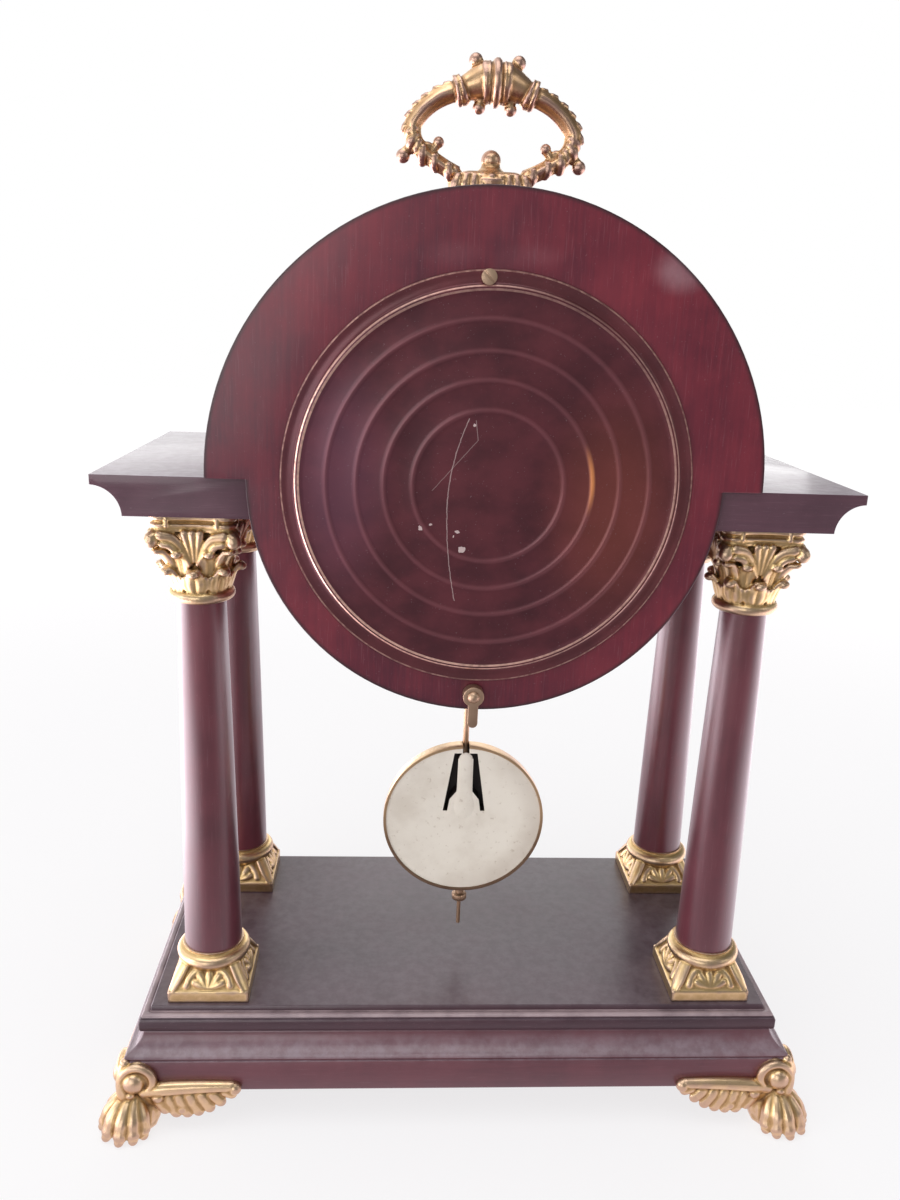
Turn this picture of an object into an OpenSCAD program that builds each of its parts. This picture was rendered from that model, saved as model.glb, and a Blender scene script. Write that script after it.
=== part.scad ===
// Mantel pendulum clock: a drum case on two cornice shelves, four columns and a moulded base,
// with a spring-driven movement of 9000 beats an hour. The dial faces -Y and the dust cover +Y.
// The origin is the middle of the footprint on the surface that the clock stands on.

/* [Case] */
// Height of the dial centre above the surface
centre_h = 222.4; // [220:0.2:226]
// Radius of the drum above the shelves
drum_r_up = 81.6; // [80:0.1:84]
// Radius of the drum below the shelf tops
drum_r_low = 69.8; // [69:0.1:71]
// Where the drum's back face lies, behind the middle of the base
drum_back = 51; // [50:0.5:53]
// Where the drum's front face lies, in front of the middle of the base
drum_front = 58; // [57.5:0.5:60]
// Thickness of the drum's bent shell
shell_t = 6; // [5:0.5:6.5]
// Thickness of the front and back boards
board_t = 6; // [5.5:0.5:7]
// Radius of the round opening at the back
back_open_r = 54; // [52:0.5:55]
// Radius of the round opening at the dial
dial_open_r = 57.5; // [56:0.5:58]

/* [Shelves] */
// Width over both shelves
shelf_w = 229; // [224:1:234]
// Thickness of a shelf
shelf_t = 12; // [11:0.5:14]
// Height of the square nose above the cove
nose_h = 3; // [2:0.5:4]
// How far the cove runs in under the nose
cove_in = 8.7; // [7:0.1:9.5]

/* [Columns] */
// Distance of the columns from the middle plane, to each side
col_x = 86.5; // [85:0.5:88]
// Distance of the columns from the middle plane, to the front and back
col_y = 33.5; // [32:0.5:35]
// Radius of a column at its top
col_r_top = 7.4; // [7:0.1:7.8]
// Radius of a column at its foot
col_r_foot = 9.7; // [9:0.1:10]
// Height of a capital
cap_h = 28.4; // [27:0.1:30]
// Height of a column base
colbase_h = 17; // [16:0.5:18]
// Half the width of a column base's square plinth
plinth_half = 13.6; // [13:0.1:14.5]
// Half the width of a capital's slab
cap_half = 13; // [12.2:0.1:13.4]

/* [Base] */
// Height of the underside of the base plinth
foot_h = 15.4; // [14.6:0.2:17]
// Thickness of the base plinth with its cove
plinth_t = 19.5; // [18:0.5:21]
// Thickness of the top board
top_t = 7.6; // [7:0.1:9]
// Width of the base plinth
base_w = 227; // [222:1:232]
// Depth of the base plinth
base_d = 114; // [110:1:118]

/* [Dust cover and button] */
// Radius of the dust cover
cover_r = 60; // [58:0.5:60.5]
// Sheet thickness of the dust cover
cover_t = 0.6; // [0.5:0.1:0.8]
// Length of the turn-button's bar below its screw
button_len = 10; // [9:0.5:11]

/* [Pendulum] */
// Clear height between the base and the lower edge of the bob
bob_clear = 25.3; // [24.5:0.1:27.5]
// Height of the flexing point above the dial centre
pivot_up = 31; // [30.5:0.1:31.5]
// Radius of the bob over its rim
bob_r = 28.6; // [27.4:0.1:29.6]
// Radius of the pendulum rod
rod_r = 1.05; // [1:0.01:1.1]

/* [Movement] */
// Tip radius of the escape wheel
esc_r = 12; // [11.5:0.1:12]
// Distance between the plates
plate_gap = 39; // [39:0.5:40]
// Thickness of each plate
plate_t = 2; // [1.8:0.1:2.2]
// Play around a pivot, on the radius
play = 0.05; // [0.03:0.01:0.08]

/* [Hidden] */
$fn = 64;
eps = 0.05;
shelf_top = centre_h;
base_top_z = foot_h + plinth_t + top_t;
col_z0 = base_top_z + colbase_h - 2;
cap_z0 = shelf_top - shelf_t - cap_h;
shelf_back = drum_back - 2;
shelf_front = 56.7;
bolt_r = 2.5;
screw_r = 0.95;
// Train: wheel teeth, pinion pins and pitch radii
great_n = 56; great_r = 25.2; inter_pins = 8; inter_pin_r = great_r * inter_pins / great_n;
inter_n = 48; inter_r = 21.6; centre_pins = 8; centre_pin_r = inter_r * centre_pins / inter_n;
centre_n = 75; centre_r = 22.5; third_pins = 6; third_pin_r = centre_r * third_pins / centre_n;
third_n = 60; third_r = 16; esc_pins = 6; esc_pin_r = third_r * esc_pins / third_n;
esc_n = 36; half_span = 42.5;
cannon_n = 12; cannon_r = 3; motion_n = 36; motion_r = 9;
mpin_n = 10; mpin_r = 2.4; hour_n = 40; hour_r = 9.6;
// Where two circles about a and b meet, on the left of the line from a to b for s = 1
function meet(a, ra, b, rb, s) = let (d = norm(b - a), u = (b - a) / d,
    k = (ra * ra - rb * rb + d * d) / (2 * d), h = sqrt(ra * ra - k * k))
    a + k * u + s * h * [-u[1], u[0]];
function ang(a, b) = atan2(b[1] - a[1], b[0] - a[0]);
C = [0, centre_h];
B = [0, centre_h - 29];
I = meet(C, inter_r + centre_pin_r, B, great_r + inter_pin_r, -1);
A = [0, centre_h + pivot_up];
E = [esc_r / cos(half_span), centre_h + pivot_up];
T = meet(C, centre_r + third_pin_r, E, third_r + esc_pin_r, -1);
M = [-(cannon_r + motion_r), centre_h];
// Depths of the plates, the pendulum and the dial along Y
bp_in = -3; bp_out = bp_in + plate_t;
fp_in = bp_in - plate_gap; fp_out = fp_in - plate_t;
rod_y = 13;
board_in = -drum_front + board_t;
dial_back = board_in + 0.8;
// Swinging length: 159 beats 9000 times an hour
bob_z = base_top_z + bob_clear + bob_r;
pendulum_l = A[1] - bob_z;
P = [2.4, centre_h + cover_r - 2.2];
Q = [1.6, centre_h - cover_r - 4.4];
hinge = [68.8, -drum_front - 2];
handle_x = -1;
// The loop is drawn about a point this far below its foot
loop_low = 59.1;
wood = "#4a1f1c"; dark_wood = "#33181a"; gilt = "#b9954f"; brass = "#c2a15a"; steel = "#8c8f94";

// Extrudes a shape drawn in x and z between two depths
module xz(y0, y1) translate([0, y1, 0]) rotate([90, 0, 0]) linear_extrude(height = y1 - y0) children();
// A rod along Y about the point p
module pin(p, r, y0, y1) translate([p[0], y1, p[1]]) rotate([90, 0, 0]) cylinder(r = r, h = y1 - y0);
// A turned shape whose axis runs along Y through p; its profile is drawn as (radius, -y)
module turned(p) translate([p[0], 0, p[1]]) rotate([90, 0, 0]) rotate_extrude() children();
// A wheel with straight-flanked teeth: one tooth points at the angle at
function wheel_pts(n, r, m, at) = [for (i = [0:n - 1])
    for (k = [[-1.3, -0.72], [1.15, -0.3], [1.15, 0.3], [-1.3, 0.72]])
    let (q = r + k[0] * m, a = at + 360 * i / n + k[1] * m / q * 180 / PI) q * [cos(a), sin(a)]];
module wheel(p, n, r, at, y0, y1) xz(y0, y1) translate(p) polygon(wheel_pts(n, r, 2 * r / n, at));
// A lantern pinion: pins between two shrouds; a gap between pins points at the angle at
module lantern(p, n, r, at, y0, y1, t = 0.6) {
    m = 2 * r / n;
    for (y = [y0 - t, y1]) pin(p, r + 1.1 * m, y, y + t);
    for (i = [0:n - 1]) pin(p + r * [cos(at + 360 * (i + 0.5) / n), sin(at + 360 * (i + 0.5) / n)],
        0.55 * m, y0 - t / 2, y1 + t / 2);
}
// An arbor between the plates, with a pivot at each end
module arbor(p, r, piv, y0 = fp_in + 0.4, y1 = bp_in - 0.4) {
    pin(p, r, y0, y1);
    pin(p, piv, fp_out, bp_out);
}
module screw(p, y, dir) {
    translate([p[0], y, p[1]]) rotate([dir > 0 ? 90 : -90, 0, 0]) difference() {
        union() {
            translate([0, 0, -eps]) cylinder(r = screw_r, h = 6 + eps);
            translate([0, 0, -1.2]) cylinder(r = 1.7, h = 1.2);
        }
        translate([-2, -0.25, -1.25]) cube([4, 0.5, 0.6]);
    }
}

// The moulded board is the overlap of its two sections, which meets in mitred corners
module moulded(d = 400) intersection() {
    rotate([90, 0, 0]) linear_extrude(height = d, center = true) children(0);
    rotate([90, 0, 90]) linear_extrude(height = d, center = true) children(1);
}
module plinth_section(w) difference() {
    translate([-w / 2, foot_h]) square([w, plinth_t]);
    for (s = [-1, 1]) translate([s * (w / 2 + 2), foot_h + plinth_t + 1]) circle(r = 8);
}
module top_section(w) {
    z = foot_h + plinth_t;
    translate([-w / 2, z]) square([w, top_t - 3.2]);
    translate([-w / 2 + 2.2, z]) square([w - 4.4, top_t - 1]);
    translate([-w / 2 + 3.4, z]) square([w - 6.8, top_t]);
    for (s = [-1, 1]) translate([s * (w / 2 - 2), z + top_t - 3.1]) circle(r = 1.4);
}
module bolt_axes() for (sx = [-1, 1], sy = [-1, 1]) translate([sx * col_x, sy * col_y, 0]) children();
module foot_screw_axes() for (sx = [-1, 1], sy = [-1, 1])
    for (q = [[base_w / 2 - 22, base_d / 2 - 8], [base_w / 2 - 8, base_d / 2 - 22]])
        translate([sx * q[0], sy * q[1], 0]) children();

module base_plinth() color(wood) difference() {
    moulded() { plinth_section(base_w); plinth_section(base_d); }
    bolt_axes() {
        translate([0, 0, foot_h - 1]) cylinder(r = bolt_r + 0.1, h = plinth_t + 2);
        translate([0, 0, foot_h - 1]) cylinder(r = 5.4, h = 7);
    }
    foot_screw_axes() translate([0, 0, foot_h - 1]) cylinder(r = 1.25, h = 11);
}

module base_top() color(dark_wood) difference() {
    moulded() { top_section(base_w - 9); top_section(base_d - 10); }
    bolt_axes() translate([0, 0, foot_h]) cylinder(r = bolt_r + 0.1, h = 40);
}

// A paw under the corner, a scroll on each face of the plinth and a wing along each face
module foot() {
    w = base_w / 2; d = base_d / 2;
    difference() {
        union() {
            translate([w - 31, d - 14, foot_h - 2]) cube([30, 13, 2]);
            translate([w - 14, d - 31, foot_h - 2]) cube([13, 30, 2]);
            foot_side(w, d);
            translate([w, d, 0]) mirror([1, -1, 0]) translate([-w, -d, 0]) foot_side(w, d);
            translate([w - 8, d - 8, 7]) cylinder(r = 6.6, h = foot_h - 7);
            translate([w - 4, d - 4, 5]) sphere(r = 8.4);
            for (a = [-80, -40, 0, 40, 80])
                rotate_about([w - 3.5, d - 3.5], 45 + a) translate([9.9, 0, 2.3]) sphere(r = 3);
        }
        translate([w - 60, d - 60, -10]) cube([90, 90, 10]);
        for (q = [[w - 22, d - 8], [w - 8, d - 22]]) translate([q[0], q[1], 0]) {
            cylinder(r = 1.3, h = foot_h + 1);
            cylinder(r = 2.6, h = foot_h - 2);
        }
        translate([w - 60, d - 60, foot_h]) cube([60, 60, plinth_t]);
    }
}
module rotate_about(p, a) translate([p[0], p[1], 0]) rotate([0, 0, a]) children();
module foot_side(w, d) {
    pin([w - 5, foot_h + 5.6], 6.5, d - 3, d + 2.4);
    pin([w - 3.4, foot_h + 5], 3.2, d, d + 3.8);
    pin([w - 7, foot_h - 4], 4.6, d - 6, d + 0.8);
    xz(d - 4, d + 1.5) polygon([[w - 6, foot_h + 3], [w - 34, foot_h + 4.3], [w - 38.5, foot_h + 3.6],
        [w - 39, foot_h + 1], [w - 36, foot_h - 0.6], [w - 33.8, foot_h - 2.6], [w - 29.3, foot_h - 5.8],
        [w - 24.6, foot_h - 8], [w - 18, foot_h - 8.4], [w - 13, foot_h - 6.2]]);
    translate([w - 37, d + 0.3, foot_h + 1.8]) rotate([90, 0, 0]) sphere(r = 2.4);
}
module at_corner(sx, sy) mirror([sx < 0 ? 1 : 0, 0, 0]) mirror([0, sy < 0 ? 1 : 0, 0]) children();
module foot_back_left() color(gilt) at_corner(1, 1) foot();
module foot_back_right() color(gilt) at_corner(-1, 1) foot();
module foot_front_left() color(gilt) at_corner(1, -1) foot();
module foot_front_right() color(gilt) at_corner(-1, -1) foot();
module foot_screws() color(steel) foot_screw_axes() {
    translate([0, 0, foot_h - 2 - 1.4]) cylinder(r = 2.3, h = 1.4);
    translate([0, 0, foot_h - 2.1]) cylinder(r = 1.2, h = 11);
}

module column() {
    z1 = cap_z0;
    difference() {
        rotate_extrude() polygon(concat([[0, col_z0]], [for (i = [0:8]) let (t = i / 8)
            [col_r_foot + (col_r_top - col_r_foot) * (0.75 * t + 0.25 * t * t), col_z0 + (z1 - col_z0) * t]],
            [[0, z1]]));
        translate([0, 0, col_z0 - 1]) cylinder(r = bolt_r + 0.1, h = z1 - col_z0 + 2);
    }
}
module at_column(sx, sy) translate([sx * col_x, sy * col_y, 0]) children();
module column_back_left() color(wood) at_column(1, 1) column();
module column_back_right() color(wood) at_column(-1, 1) column();
module column_front_left() color(wood) at_column(1, -1) column();
module column_front_right() color(wood) at_column(-1, -1) column();

// Square plinth, leafy swell and a collar that takes the column's foot
module column_base() {
    z = base_top_z; p = plinth_half; h = colbase_h;
    difference() {
        union() {
            translate([-p, -p, z]) cube([2 * p, 2 * p, 4.6]);
            translate([0, 0, z + 4.5]) rotate([0, 0, 45])
                cylinder(r1 = (p - 0.7) * sqrt(2), r2 = (p - 4.9) * sqrt(2), h = 8, $fn = 4);
            rotate_extrude() polygon([[0, z], [p - 0.6, z + 4.5], [p - 0.4, z + 6.2], [p - 1.4, z + 8],
                [p - 2.8, z + 10.5], [col_r_foot + 0.9, z + h - 4.6], [col_r_foot + 1.4, z + h - 4],
                [col_r_foot + 1.7, z + h - 2], [col_r_foot + 1.2, z + h - 0.2], [col_r_foot + 0.6, z + h],
                [0, z + h]]);
        }
        translate([0, 0, z + h - 2]) cylinder(r = col_r_foot + 0.02, h = 3);
        translate([0, 0, z - 1]) cylinder(r = bolt_r + 0.1, h = h + 2);
    }
}
module column_base_back_left() color(gilt) at_column(1, 1) column_base();
module column_base_back_right() color(gilt) at_column(-1, 1) column_base();
module column_base_front_left() color(gilt) at_column(1, -1) column_base();
module column_base_front_right() color(gilt) at_column(-1, -1) column_base();

// Ring, bell with two rows of leaves, corner scrolls and a hollow-sided abacus
module leaf(r, z0, z1, w) translate([0, 0, z0]) {
    translate([col_r_top - 0.6, -w / 2, 0]) cube([r - col_r_top + 1, w, z1 - z0 - 1]);
    translate([r + 0.7, -w * 0.4, z1 - z0 - 1.5]) rotate([-90, 0, 0]) cylinder(r = 1.4, h = w * 0.8);
}
module capital() {
    z = cap_z0; h = cap_h; r = col_r_top;
    difference() {
        union() {
            rotate_extrude() polygon([[0, z], [r + 1.2, z], [r + 2.4, z + 0.8], [r + 2.4, z + 2],
                [r + 1.2, z + 3.2],
                [r - 0.2, z + 4], [r, z + 14], [r + 1.4, z + h - 6], [r + 3, z + h - 4], [0, z + h - 4]]);
            for (i = [0:7]) rotate([0, 0, 45 * i]) leaf(r + 2.2, z + 3, z + 11.8, 5);
            for (i = [0:7]) rotate([0, 0, 45 * i + 22.5]) leaf(r + 2.8, z + 3, z + 18.4, 4.4);
            for (i = [0:3]) rotate([0, 0, 90 * i + 45]) {
                translate([11, -1.5, z + 16]) cube([5.3, 3, h - 19]);
                translate([16.3, -1.7, z + h - 7.5]) rotate([-90, 0, 0]) cylinder(r = 3, h = 3.4);
            }
            for (i = [0:3]) rotate([0, 0, 90 * i]) translate([10.8, 0, z + h - 3.6]) sphere(r = 2);
            difference() {
                intersection() {
                    translate([-cap_half, -cap_half, z + h - 4.6]) cube([2 * cap_half, 2 * cap_half, 4.6]);
                    translate([0, 0, z + h - 5]) cylinder(r = cap_half + 3.8, h = 6);
                }
                for (i = [0:3]) rotate([0, 0, 90 * i]) translate([cap_half + 30.8, 0, z + h - 6])
                    cylinder(r = 32, h = 8);
            }
        }
        translate([0, 0, z - 1]) cylinder(r = bolt_r + 0.1, h = h + 2);
        translate([0, 0, z + h]) cylinder(r = 30, h = 3);
    }
}
module capital_back_left() color(gilt) at_column(1, 1) capital();
module capital_back_right() color(gilt) at_column(-1, 1) capital();
module capital_front_left() color(gilt) at_column(1, -1) capital();
module capital_front_right() color(gilt) at_column(-1, -1) capital();

// Long bolts from below, through base, columns and capitals, into blind holes in the shelves
module tie_bolts() color(steel) bolt_axes() {
    translate([0, 0, foot_h + 1.6]) cylinder(r = 4.8, h = 4.4, $fn = 6);
    translate([0, 0, foot_h + 5.9]) cylinder(r = bolt_r, h = shelf_top - 4 - foot_h - 5.9);
}

module shelf() {
    z = shelf_top - shelf_t; w = shelf_w / 2; r = shelf_t - nose_h;
    difference() {
        intersection() {
            xz(-shelf_front, shelf_back) difference() {
                translate([0, z]) square([w, shelf_t]);
                translate([w - cove_in + r, z]) circle(r = r);
            }
            rotate([90, 0, 90]) linear_extrude(height = w + 1) difference() {
                translate([-shelf_front, z]) square([shelf_front + shelf_back, shelf_t]);
                translate([-shelf_front + cove_in - r, z]) circle(r = r);
            }
        }
        pin(C, drum_r_low, -shelf_front - 1, shelf_back + 1);
        for (sy = [-1, 1]) translate([col_x, sy * col_y, z - 1])
            cylinder(r = bolt_r + 0.05, h = shelf_t - 2.5);
    }
}
module shelf_left() color(wood) shelf();
module shelf_right() color(wood) mirror([1, 0, 0]) shelf();

// The drum is wider above the shelves than below them
module outline(t = 0) {
    translate(C) circle(r = drum_r_low - t);
    intersection() {
        translate(C) circle(r = drum_r_up - t);
        translate([-100, shelf_top + t]) square([200, 100]);
    }
}
module drum_shell() color(wood) difference() {
    union() {
        xz(board_in, drum_back - board_t) difference() { outline(); outline(shell_t); }
        for (s = [-1, 1]) xz(fp_in, fp_in + 12) intersection() {
            translate([s * 56 - 8, centre_h - 12]) square([16, 24]);
            outline(shell_t - 0.5);
        }
    }
    translate([-13, rod_y - 4, centre_h - drum_r_low - 1]) cube([26, 8, shell_t + 4]);
    for (s = [-1, 1]) translate([handle_x + s * 8, 0, centre_h + 60]) cylinder(r = 1.6, h = 30);
    for (q = ear_holes) pin(q, screw_r + 0.03, fp_in - 1, fp_in + 5);
}
ear_holes = [for (sx = [-1, 1], sz = [-1, 1]) [sx * 53, centre_h + sz * 8]];

module back_board() color(wood) difference() {
    xz(drum_back - board_t, drum_back) outline();
    pin(C, back_open_r, drum_back - board_t - 1, drum_back + 1);
    for (q = [P, Q]) pin(q, 1.2, drum_back - 5, drum_back + 1);
}

module front_board() color(wood) difference() {
    xz(-drum_front, board_in) outline();
    pin(C, dial_open_r, -drum_front - 1, board_in + 1);
    for (q = dial_holes) pin(q, screw_r + 0.03, -drum_front + 0.6, board_in + 1);
    for (q = leaf_holes) pin(q, 0.85, -drum_front - 1, -drum_front + 4.5);
}
dial_screw_r = (dial_open_r + drum_r_low - shell_t) / 2 - 0.45;
dial_holes = [for (a = [30, 150, 270]) C + dial_screw_r * [cos(a), sin(a)]];
leaf_holes = [for (dz = [7, 14]) [73.6, centre_h + dz]];

// The loop's half: distance from its middle, height and radius, from the spindle to the pedestal
loop_half = [[0, 87.8, 6.8], [1.2, 87.8, 6.8], [1.5, 87.8, 5.9], [2.8, 87.7, 5.9], [3.2, 87.7, 6.2],
    [4, 87.6, 6], [5, 87.4, 5.3], [8, 86.3, 4.1], [9.7, 85.5, 3.6], [9.8, 85.4, 4.3],
    [12.4, 84.6, 4.3], [12.5, 84.55, 2.9], [14.5, 83.9, 2.8], [17.3, 82.6, 2.7], [20, 80.7, 2.6],
    [22.1, 78.8, 2.6], [24, 76.4, 2.55], [25, 74.2, 2.5], [24.9, 71.6, 2.45], [23.9, 69.4, 2.4],
    [22.2, 67.6, 2.4], [20.1, 66, 2.35], [15, 63.1, 2.3], [9.5, 60.8, 2.2]];
loop_all = concat([for (i = [len(loop_half) - 1:-1:1]) let (q = loop_half[i]) [-q[0], q[1], q[2]]],
    loop_half);
// A tube of the given number of sides through points in the x-z plane
module tube(p, sides) {
    n = len(p);
    rings = [for (i = [0:n - 1]) let (a = p[max(0, i - 1)], b = p[min(n - 1, i + 1)],
        d = [b[0] - a[0], b[1] - a[1]], u = [-d[1], d[0]] / norm(d))
        for (k = [0:sides - 1]) let (w = 360 * k / sides, r = p[i][2])
        [p[i][0] + r * cos(w) * u[0], r * sin(w), p[i][1] + r * cos(w) * u[1]]];
    polyhedron(rings, concat(
        [for (i = [0:n - 2]) for (k = [0:sides - 1]) let (m = (k + 1) % sides)
            [i * sides + m, (i + 1) * sides + m, (i + 1) * sides + k, i * sides + k]],
        [[for (k = [sides - 1:-1:0]) k], [for (k = [0:sides - 1]) (n - 1) * sides + k]]));
}
module rod_between(a, b, r0, r1) {
    d = b - a;
    translate(a) rotate([0, atan2(d[0], d[2]), 0]) cylinder(r1 = r0, r2 = r1, h = norm(d), $fn = 32);
}
module knob(a, b, r, ball) { rod_between(a, b, r, r * 0.8); translate(b) sphere(r = ball, $fn = 32); }
// Cast loop handle on a pedestal that is hollowed to the drum's curve
module handle() color("#a8865a") {
    difference() {
        union() {
            translate([handle_x - 12.2, -7, centre_h + drum_r_up - 2]) cube([24.4, 14, 7]);
            translate([handle_x - 10.8, -5.8, centre_h + drum_r_up + 4]) cube([21.6, 11.6, 3.2]);
        }
        pin(C, drum_r_up, -10, 10);
    }
    translate([handle_x, 0, centre_h + drum_r_up + 6]) {
        rotate_extrude() polygon([[0, 0], [4.6, 0], [4.2, 1.6], [2.6, 3], [2, 4.6], [0, 4.6]]);
        translate([0, 0, 6.6]) sphere(r = 3.1);
    }
    for (s = [-1, 1]) translate([handle_x + s * 8, 0, centre_h + drum_r_up - shell_t - 5.6])
        cylinder(r = 1.5, h = shell_t + 7.6);
    translate([handle_x, 0, centre_h + drum_r_up + 6]) rotate([0, -1.2, 0])
        translate([0, 0, -loop_low]) {
            tube(loop_all, 16);
            for (s = [-1, 1]) {
                knob([s * 22, 0, 67.5], [s * 27.6, 0, 65.6], 1.5, 2.1);
                knob([s * 19, 0, 65], [s * 16.8, 0, 70], 1.3, 1.7);
                knob([s * 4, 0, 89], [s * 6.6, 0, 93.7], 1.8, 2.1);
                knob([s * 4, 0, 84], [s * 4.9, 0, 80.6], 1.6, 1.9);
            }
        }
}
module handle_nuts() color(steel) for (s = [-1, 1])
    translate([handle_x + s * 8, 0, centre_h + drum_r_up - shell_t - 3.8]) difference() {
        cylinder(r = 3, h = 2.6, $fn = 6);
        translate([0, 0, -1]) cylinder(r = 1.52, h = 5);
    }

// Pressed sheet with a flat flange, a raised face and four ring beads
module dust_cover() color("#6b3a30") difference() {
    t = cover_t; y = -drum_back;
    union() {
        turned(C) polygon([[0, y - 1.9], [cover_r - 5.4, y - 1.9], [cover_r - 4.2, y - t],
            [cover_r, y - t], [cover_r, y], [cover_r - 4.8, y], [cover_r - 6, y - 1.9 + t],
            [0, y - 1.9 + t]]);
        for (q = [47, 38.3, 30.3, 22]) turned(C)
            polygon([[q - 0.9, y - 1.8], [q - 0.4, y - 2.3], [q + 0.4, y - 2.3], [q + 0.9, y - 1.8]]);
    }
    pin(P, 1.15 + play, drum_back - 1, drum_back + 4);
}
module cover_screw() color(brass) difference() {
    union() {
        pin(P, 2.15, drum_back + 1.2, drum_back + 2.4);
        pin(P, 1.15, drum_back - 5, drum_back + 1.3);
    }
    translate([P[0], drum_back + 2.4, P[1]]) rotate([0, -45, 0]) cube([6, 1.2, 0.6], center = true);
}
module turn_button() color(brass) difference() {
    union() {
        pin(Q, 3.2, drum_back + 0.1, drum_back + 3.6);
        xz(drum_back + 2.7, drum_back + 3.6) {
            translate([Q[0] - 1.55, Q[1] - button_len + 1.5]) square([3.1, button_len - 1.5]);
            translate([Q[0], Q[1] - button_len + 1.5]) circle(r = 1.55);
        }
    }
    pin(Q, 1.15 + play, drum_back - 1, drum_back + 5);
}
module button_screw() color(brass) {
    pin(Q, 1.15, drum_back - 5, drum_back + 3.8);
    intersection() {
        pin(Q, 2, drum_back + 3.7, drum_back + 5);
        translate([Q[0], drum_back + 3, Q[1]]) sphere(r = 2);
    }
}

// Hinged ring: profile drawn as (radius, depth in front of the board)
module bezel() color(brass) {
    d = drum_front;
    turned(C) polygon([[57, d + 2.4], [57, d + 3], [58, d + 4.6], [60.2, d + 5.6], [62.4, d + 5.4],
        [64.2, d + 4], [66, d + 2.4], [66, d + 0.2], [63, d + 0.2], [63, d + 0.9], [59, d + 0.9],
        [59, d + 2.4]]);
    xz(-d - 2.9, -d - 0.4) translate([-68.4, centre_h - 4]) square([3.4, 8]);
    for (dz = [-0.2, 14.4]) difference() {
        union() {
            translate([hinge[0], hinge[1], centre_h + 2.6 + dz]) cylinder(r = 1.9, h = 4);
            translate([62.4, hinge[1] - 0.7, centre_h + 2.6 + dz]) cube([hinge[0] - 62.4, 1.4, 4]);
        }
        translate([hinge[0], hinge[1], centre_h]) cylinder(r = 1 + play, h = 30);
    }
}
module glass() color([0.85, 0.92, 0.95, 0.35]) pin(C, 58.95, -drum_front - 2.35, -drum_front - 0.95);
module bezel_leaf() color(brass) difference() {
    union() {
        xz(-drum_front - 0.9, -drum_front) translate([hinge[0] - 1, centre_h + 6.6]) square([9, 10]);
        translate([hinge[0], hinge[1], centre_h + 6.6]) cylinder(r = 1.9, h = 10);
    }
    translate([hinge[0], hinge[1], centre_h]) cylinder(r = 1.01, h = 30);
    for (q = leaf_holes) pin(q + [0, 1], 0.9, -drum_front - 2, -drum_front + 1);
}
module hinge_pin() color(steel) {
    translate([hinge[0], hinge[1], centre_h + 2]) cylinder(r = 1, h = 20.6);
    translate([hinge[0], hinge[1], centre_h + 22.7]) sphere(r = 1.5);
}

module dial() color("#f2ead6") difference() {
    pin(C, drum_r_low - shell_t - 1.3, board_in, dial_back);
    pin(C, 3.6, board_in - 1, dial_back + 1);
    pin(B, 3.4, board_in - 1, dial_back + 1);
    for (q = dial_holes) pin(q, screw_r + 0.03, board_in - 1, dial_back + 1);
}
// Hands at ten past ten: each is drawn pointing up, then turned
module hand(l, w, r, at, y0, y1) difference() {
    union() {
        pin(C, r + 2.2, y0, y1);
        xz(y0, y1) translate(C) rotate(at) polygon([[-w * 0.6, -l * 0.2], [-w / 2, 0],
            [-w * 0.35, l * 0.55], [-w, l * 0.66], [0, l], [w, l * 0.66], [w * 0.35, l * 0.55],
            [w / 2, 0], [w * 0.6, -l * 0.2]]);
    }
    pin(C, r, y0 - 1, y1 + 1);
}
module hour_hand() color("#20242c") hand(32, 2.4, 3, 55, board_in - 1.7, board_in - 1.1);
module minute_hand() color("#20242c") hand(47, 2, 1.2, -60, board_in - 3.9, board_in - 3.3);
module hand_nut() color(brass) difference() {
    pin(C, 2.2, board_in - 5.2, board_in - 3.9);
    pin(C, 0.8, board_in - 6, board_in - 3);
}

pillar_pts = [for (sx = [-1, 1], z = [-42, 41]) [sx * 34, centre_h + z]];
cock_pts = [for (sx = [-1, 1]) A + [sx * 6, 11.5]];
module plate_shape() translate([-39, centre_h - 47]) square([78, 93]);
module pivot_holes(y0, y1) {
    for (q = [[I, 0.8], [T, 0.6], [E, 0.6]]) pin(q[0], q[1] + play, y0, y1);
    pin(B, 2.4 + play, y0, y1);
}
module back_plate() color(brass) difference() {
    union() {
        xz(bp_in, bp_out) plate_shape();
        for (q = pillar_pts) pin(q, 3, fp_in, bp_in + eps);
        pin(K, 1.3, bp_out - eps, bp_out + 3);
    }
    pivot_holes(bp_in - 1, bp_out + 1);
    pin(C, 1 + play, bp_in - 1, bp_out + 1);
    pin(A, 1.2 + play, bp_in - 1, bp_out + 1);
    for (q = pillar_pts) pin(q, screw_r + 0.03, fp_in - 1, fp_in + 5);
    for (q = cock_pts) pin(q, screw_r + 0.03, bp_in - 1, bp_out + 1);
}
module front_plate() color(brass) difference() {
    union() {
        xz(fp_out, fp_in) {
            plate_shape();
            translate([-58, centre_h - 12]) square([116, 24]);
        }
        pin(M, 1, fp_out - 4.8, fp_out + eps);
    }
    pivot_holes(fp_out - 1, fp_in + 1);
    pin(C, 1.5 + play, fp_out - 1, fp_in + 1);
    pin(A, 0.6 + play, fp_out - 1, fp_in + 1);
    for (q = concat(pillar_pts, ear_holes)) pin(q, screw_r + 0.03, fp_out - 1, fp_in + 1);
}
module movement_screws() color(steel) {
    for (q = concat(pillar_pts, ear_holes)) screw(q, fp_out, -1);
    for (q = dial_holes) screw(q, dial_back, 1);
    for (q = cock_pts) screw(q, bp_out + 2, 1);
}

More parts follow.
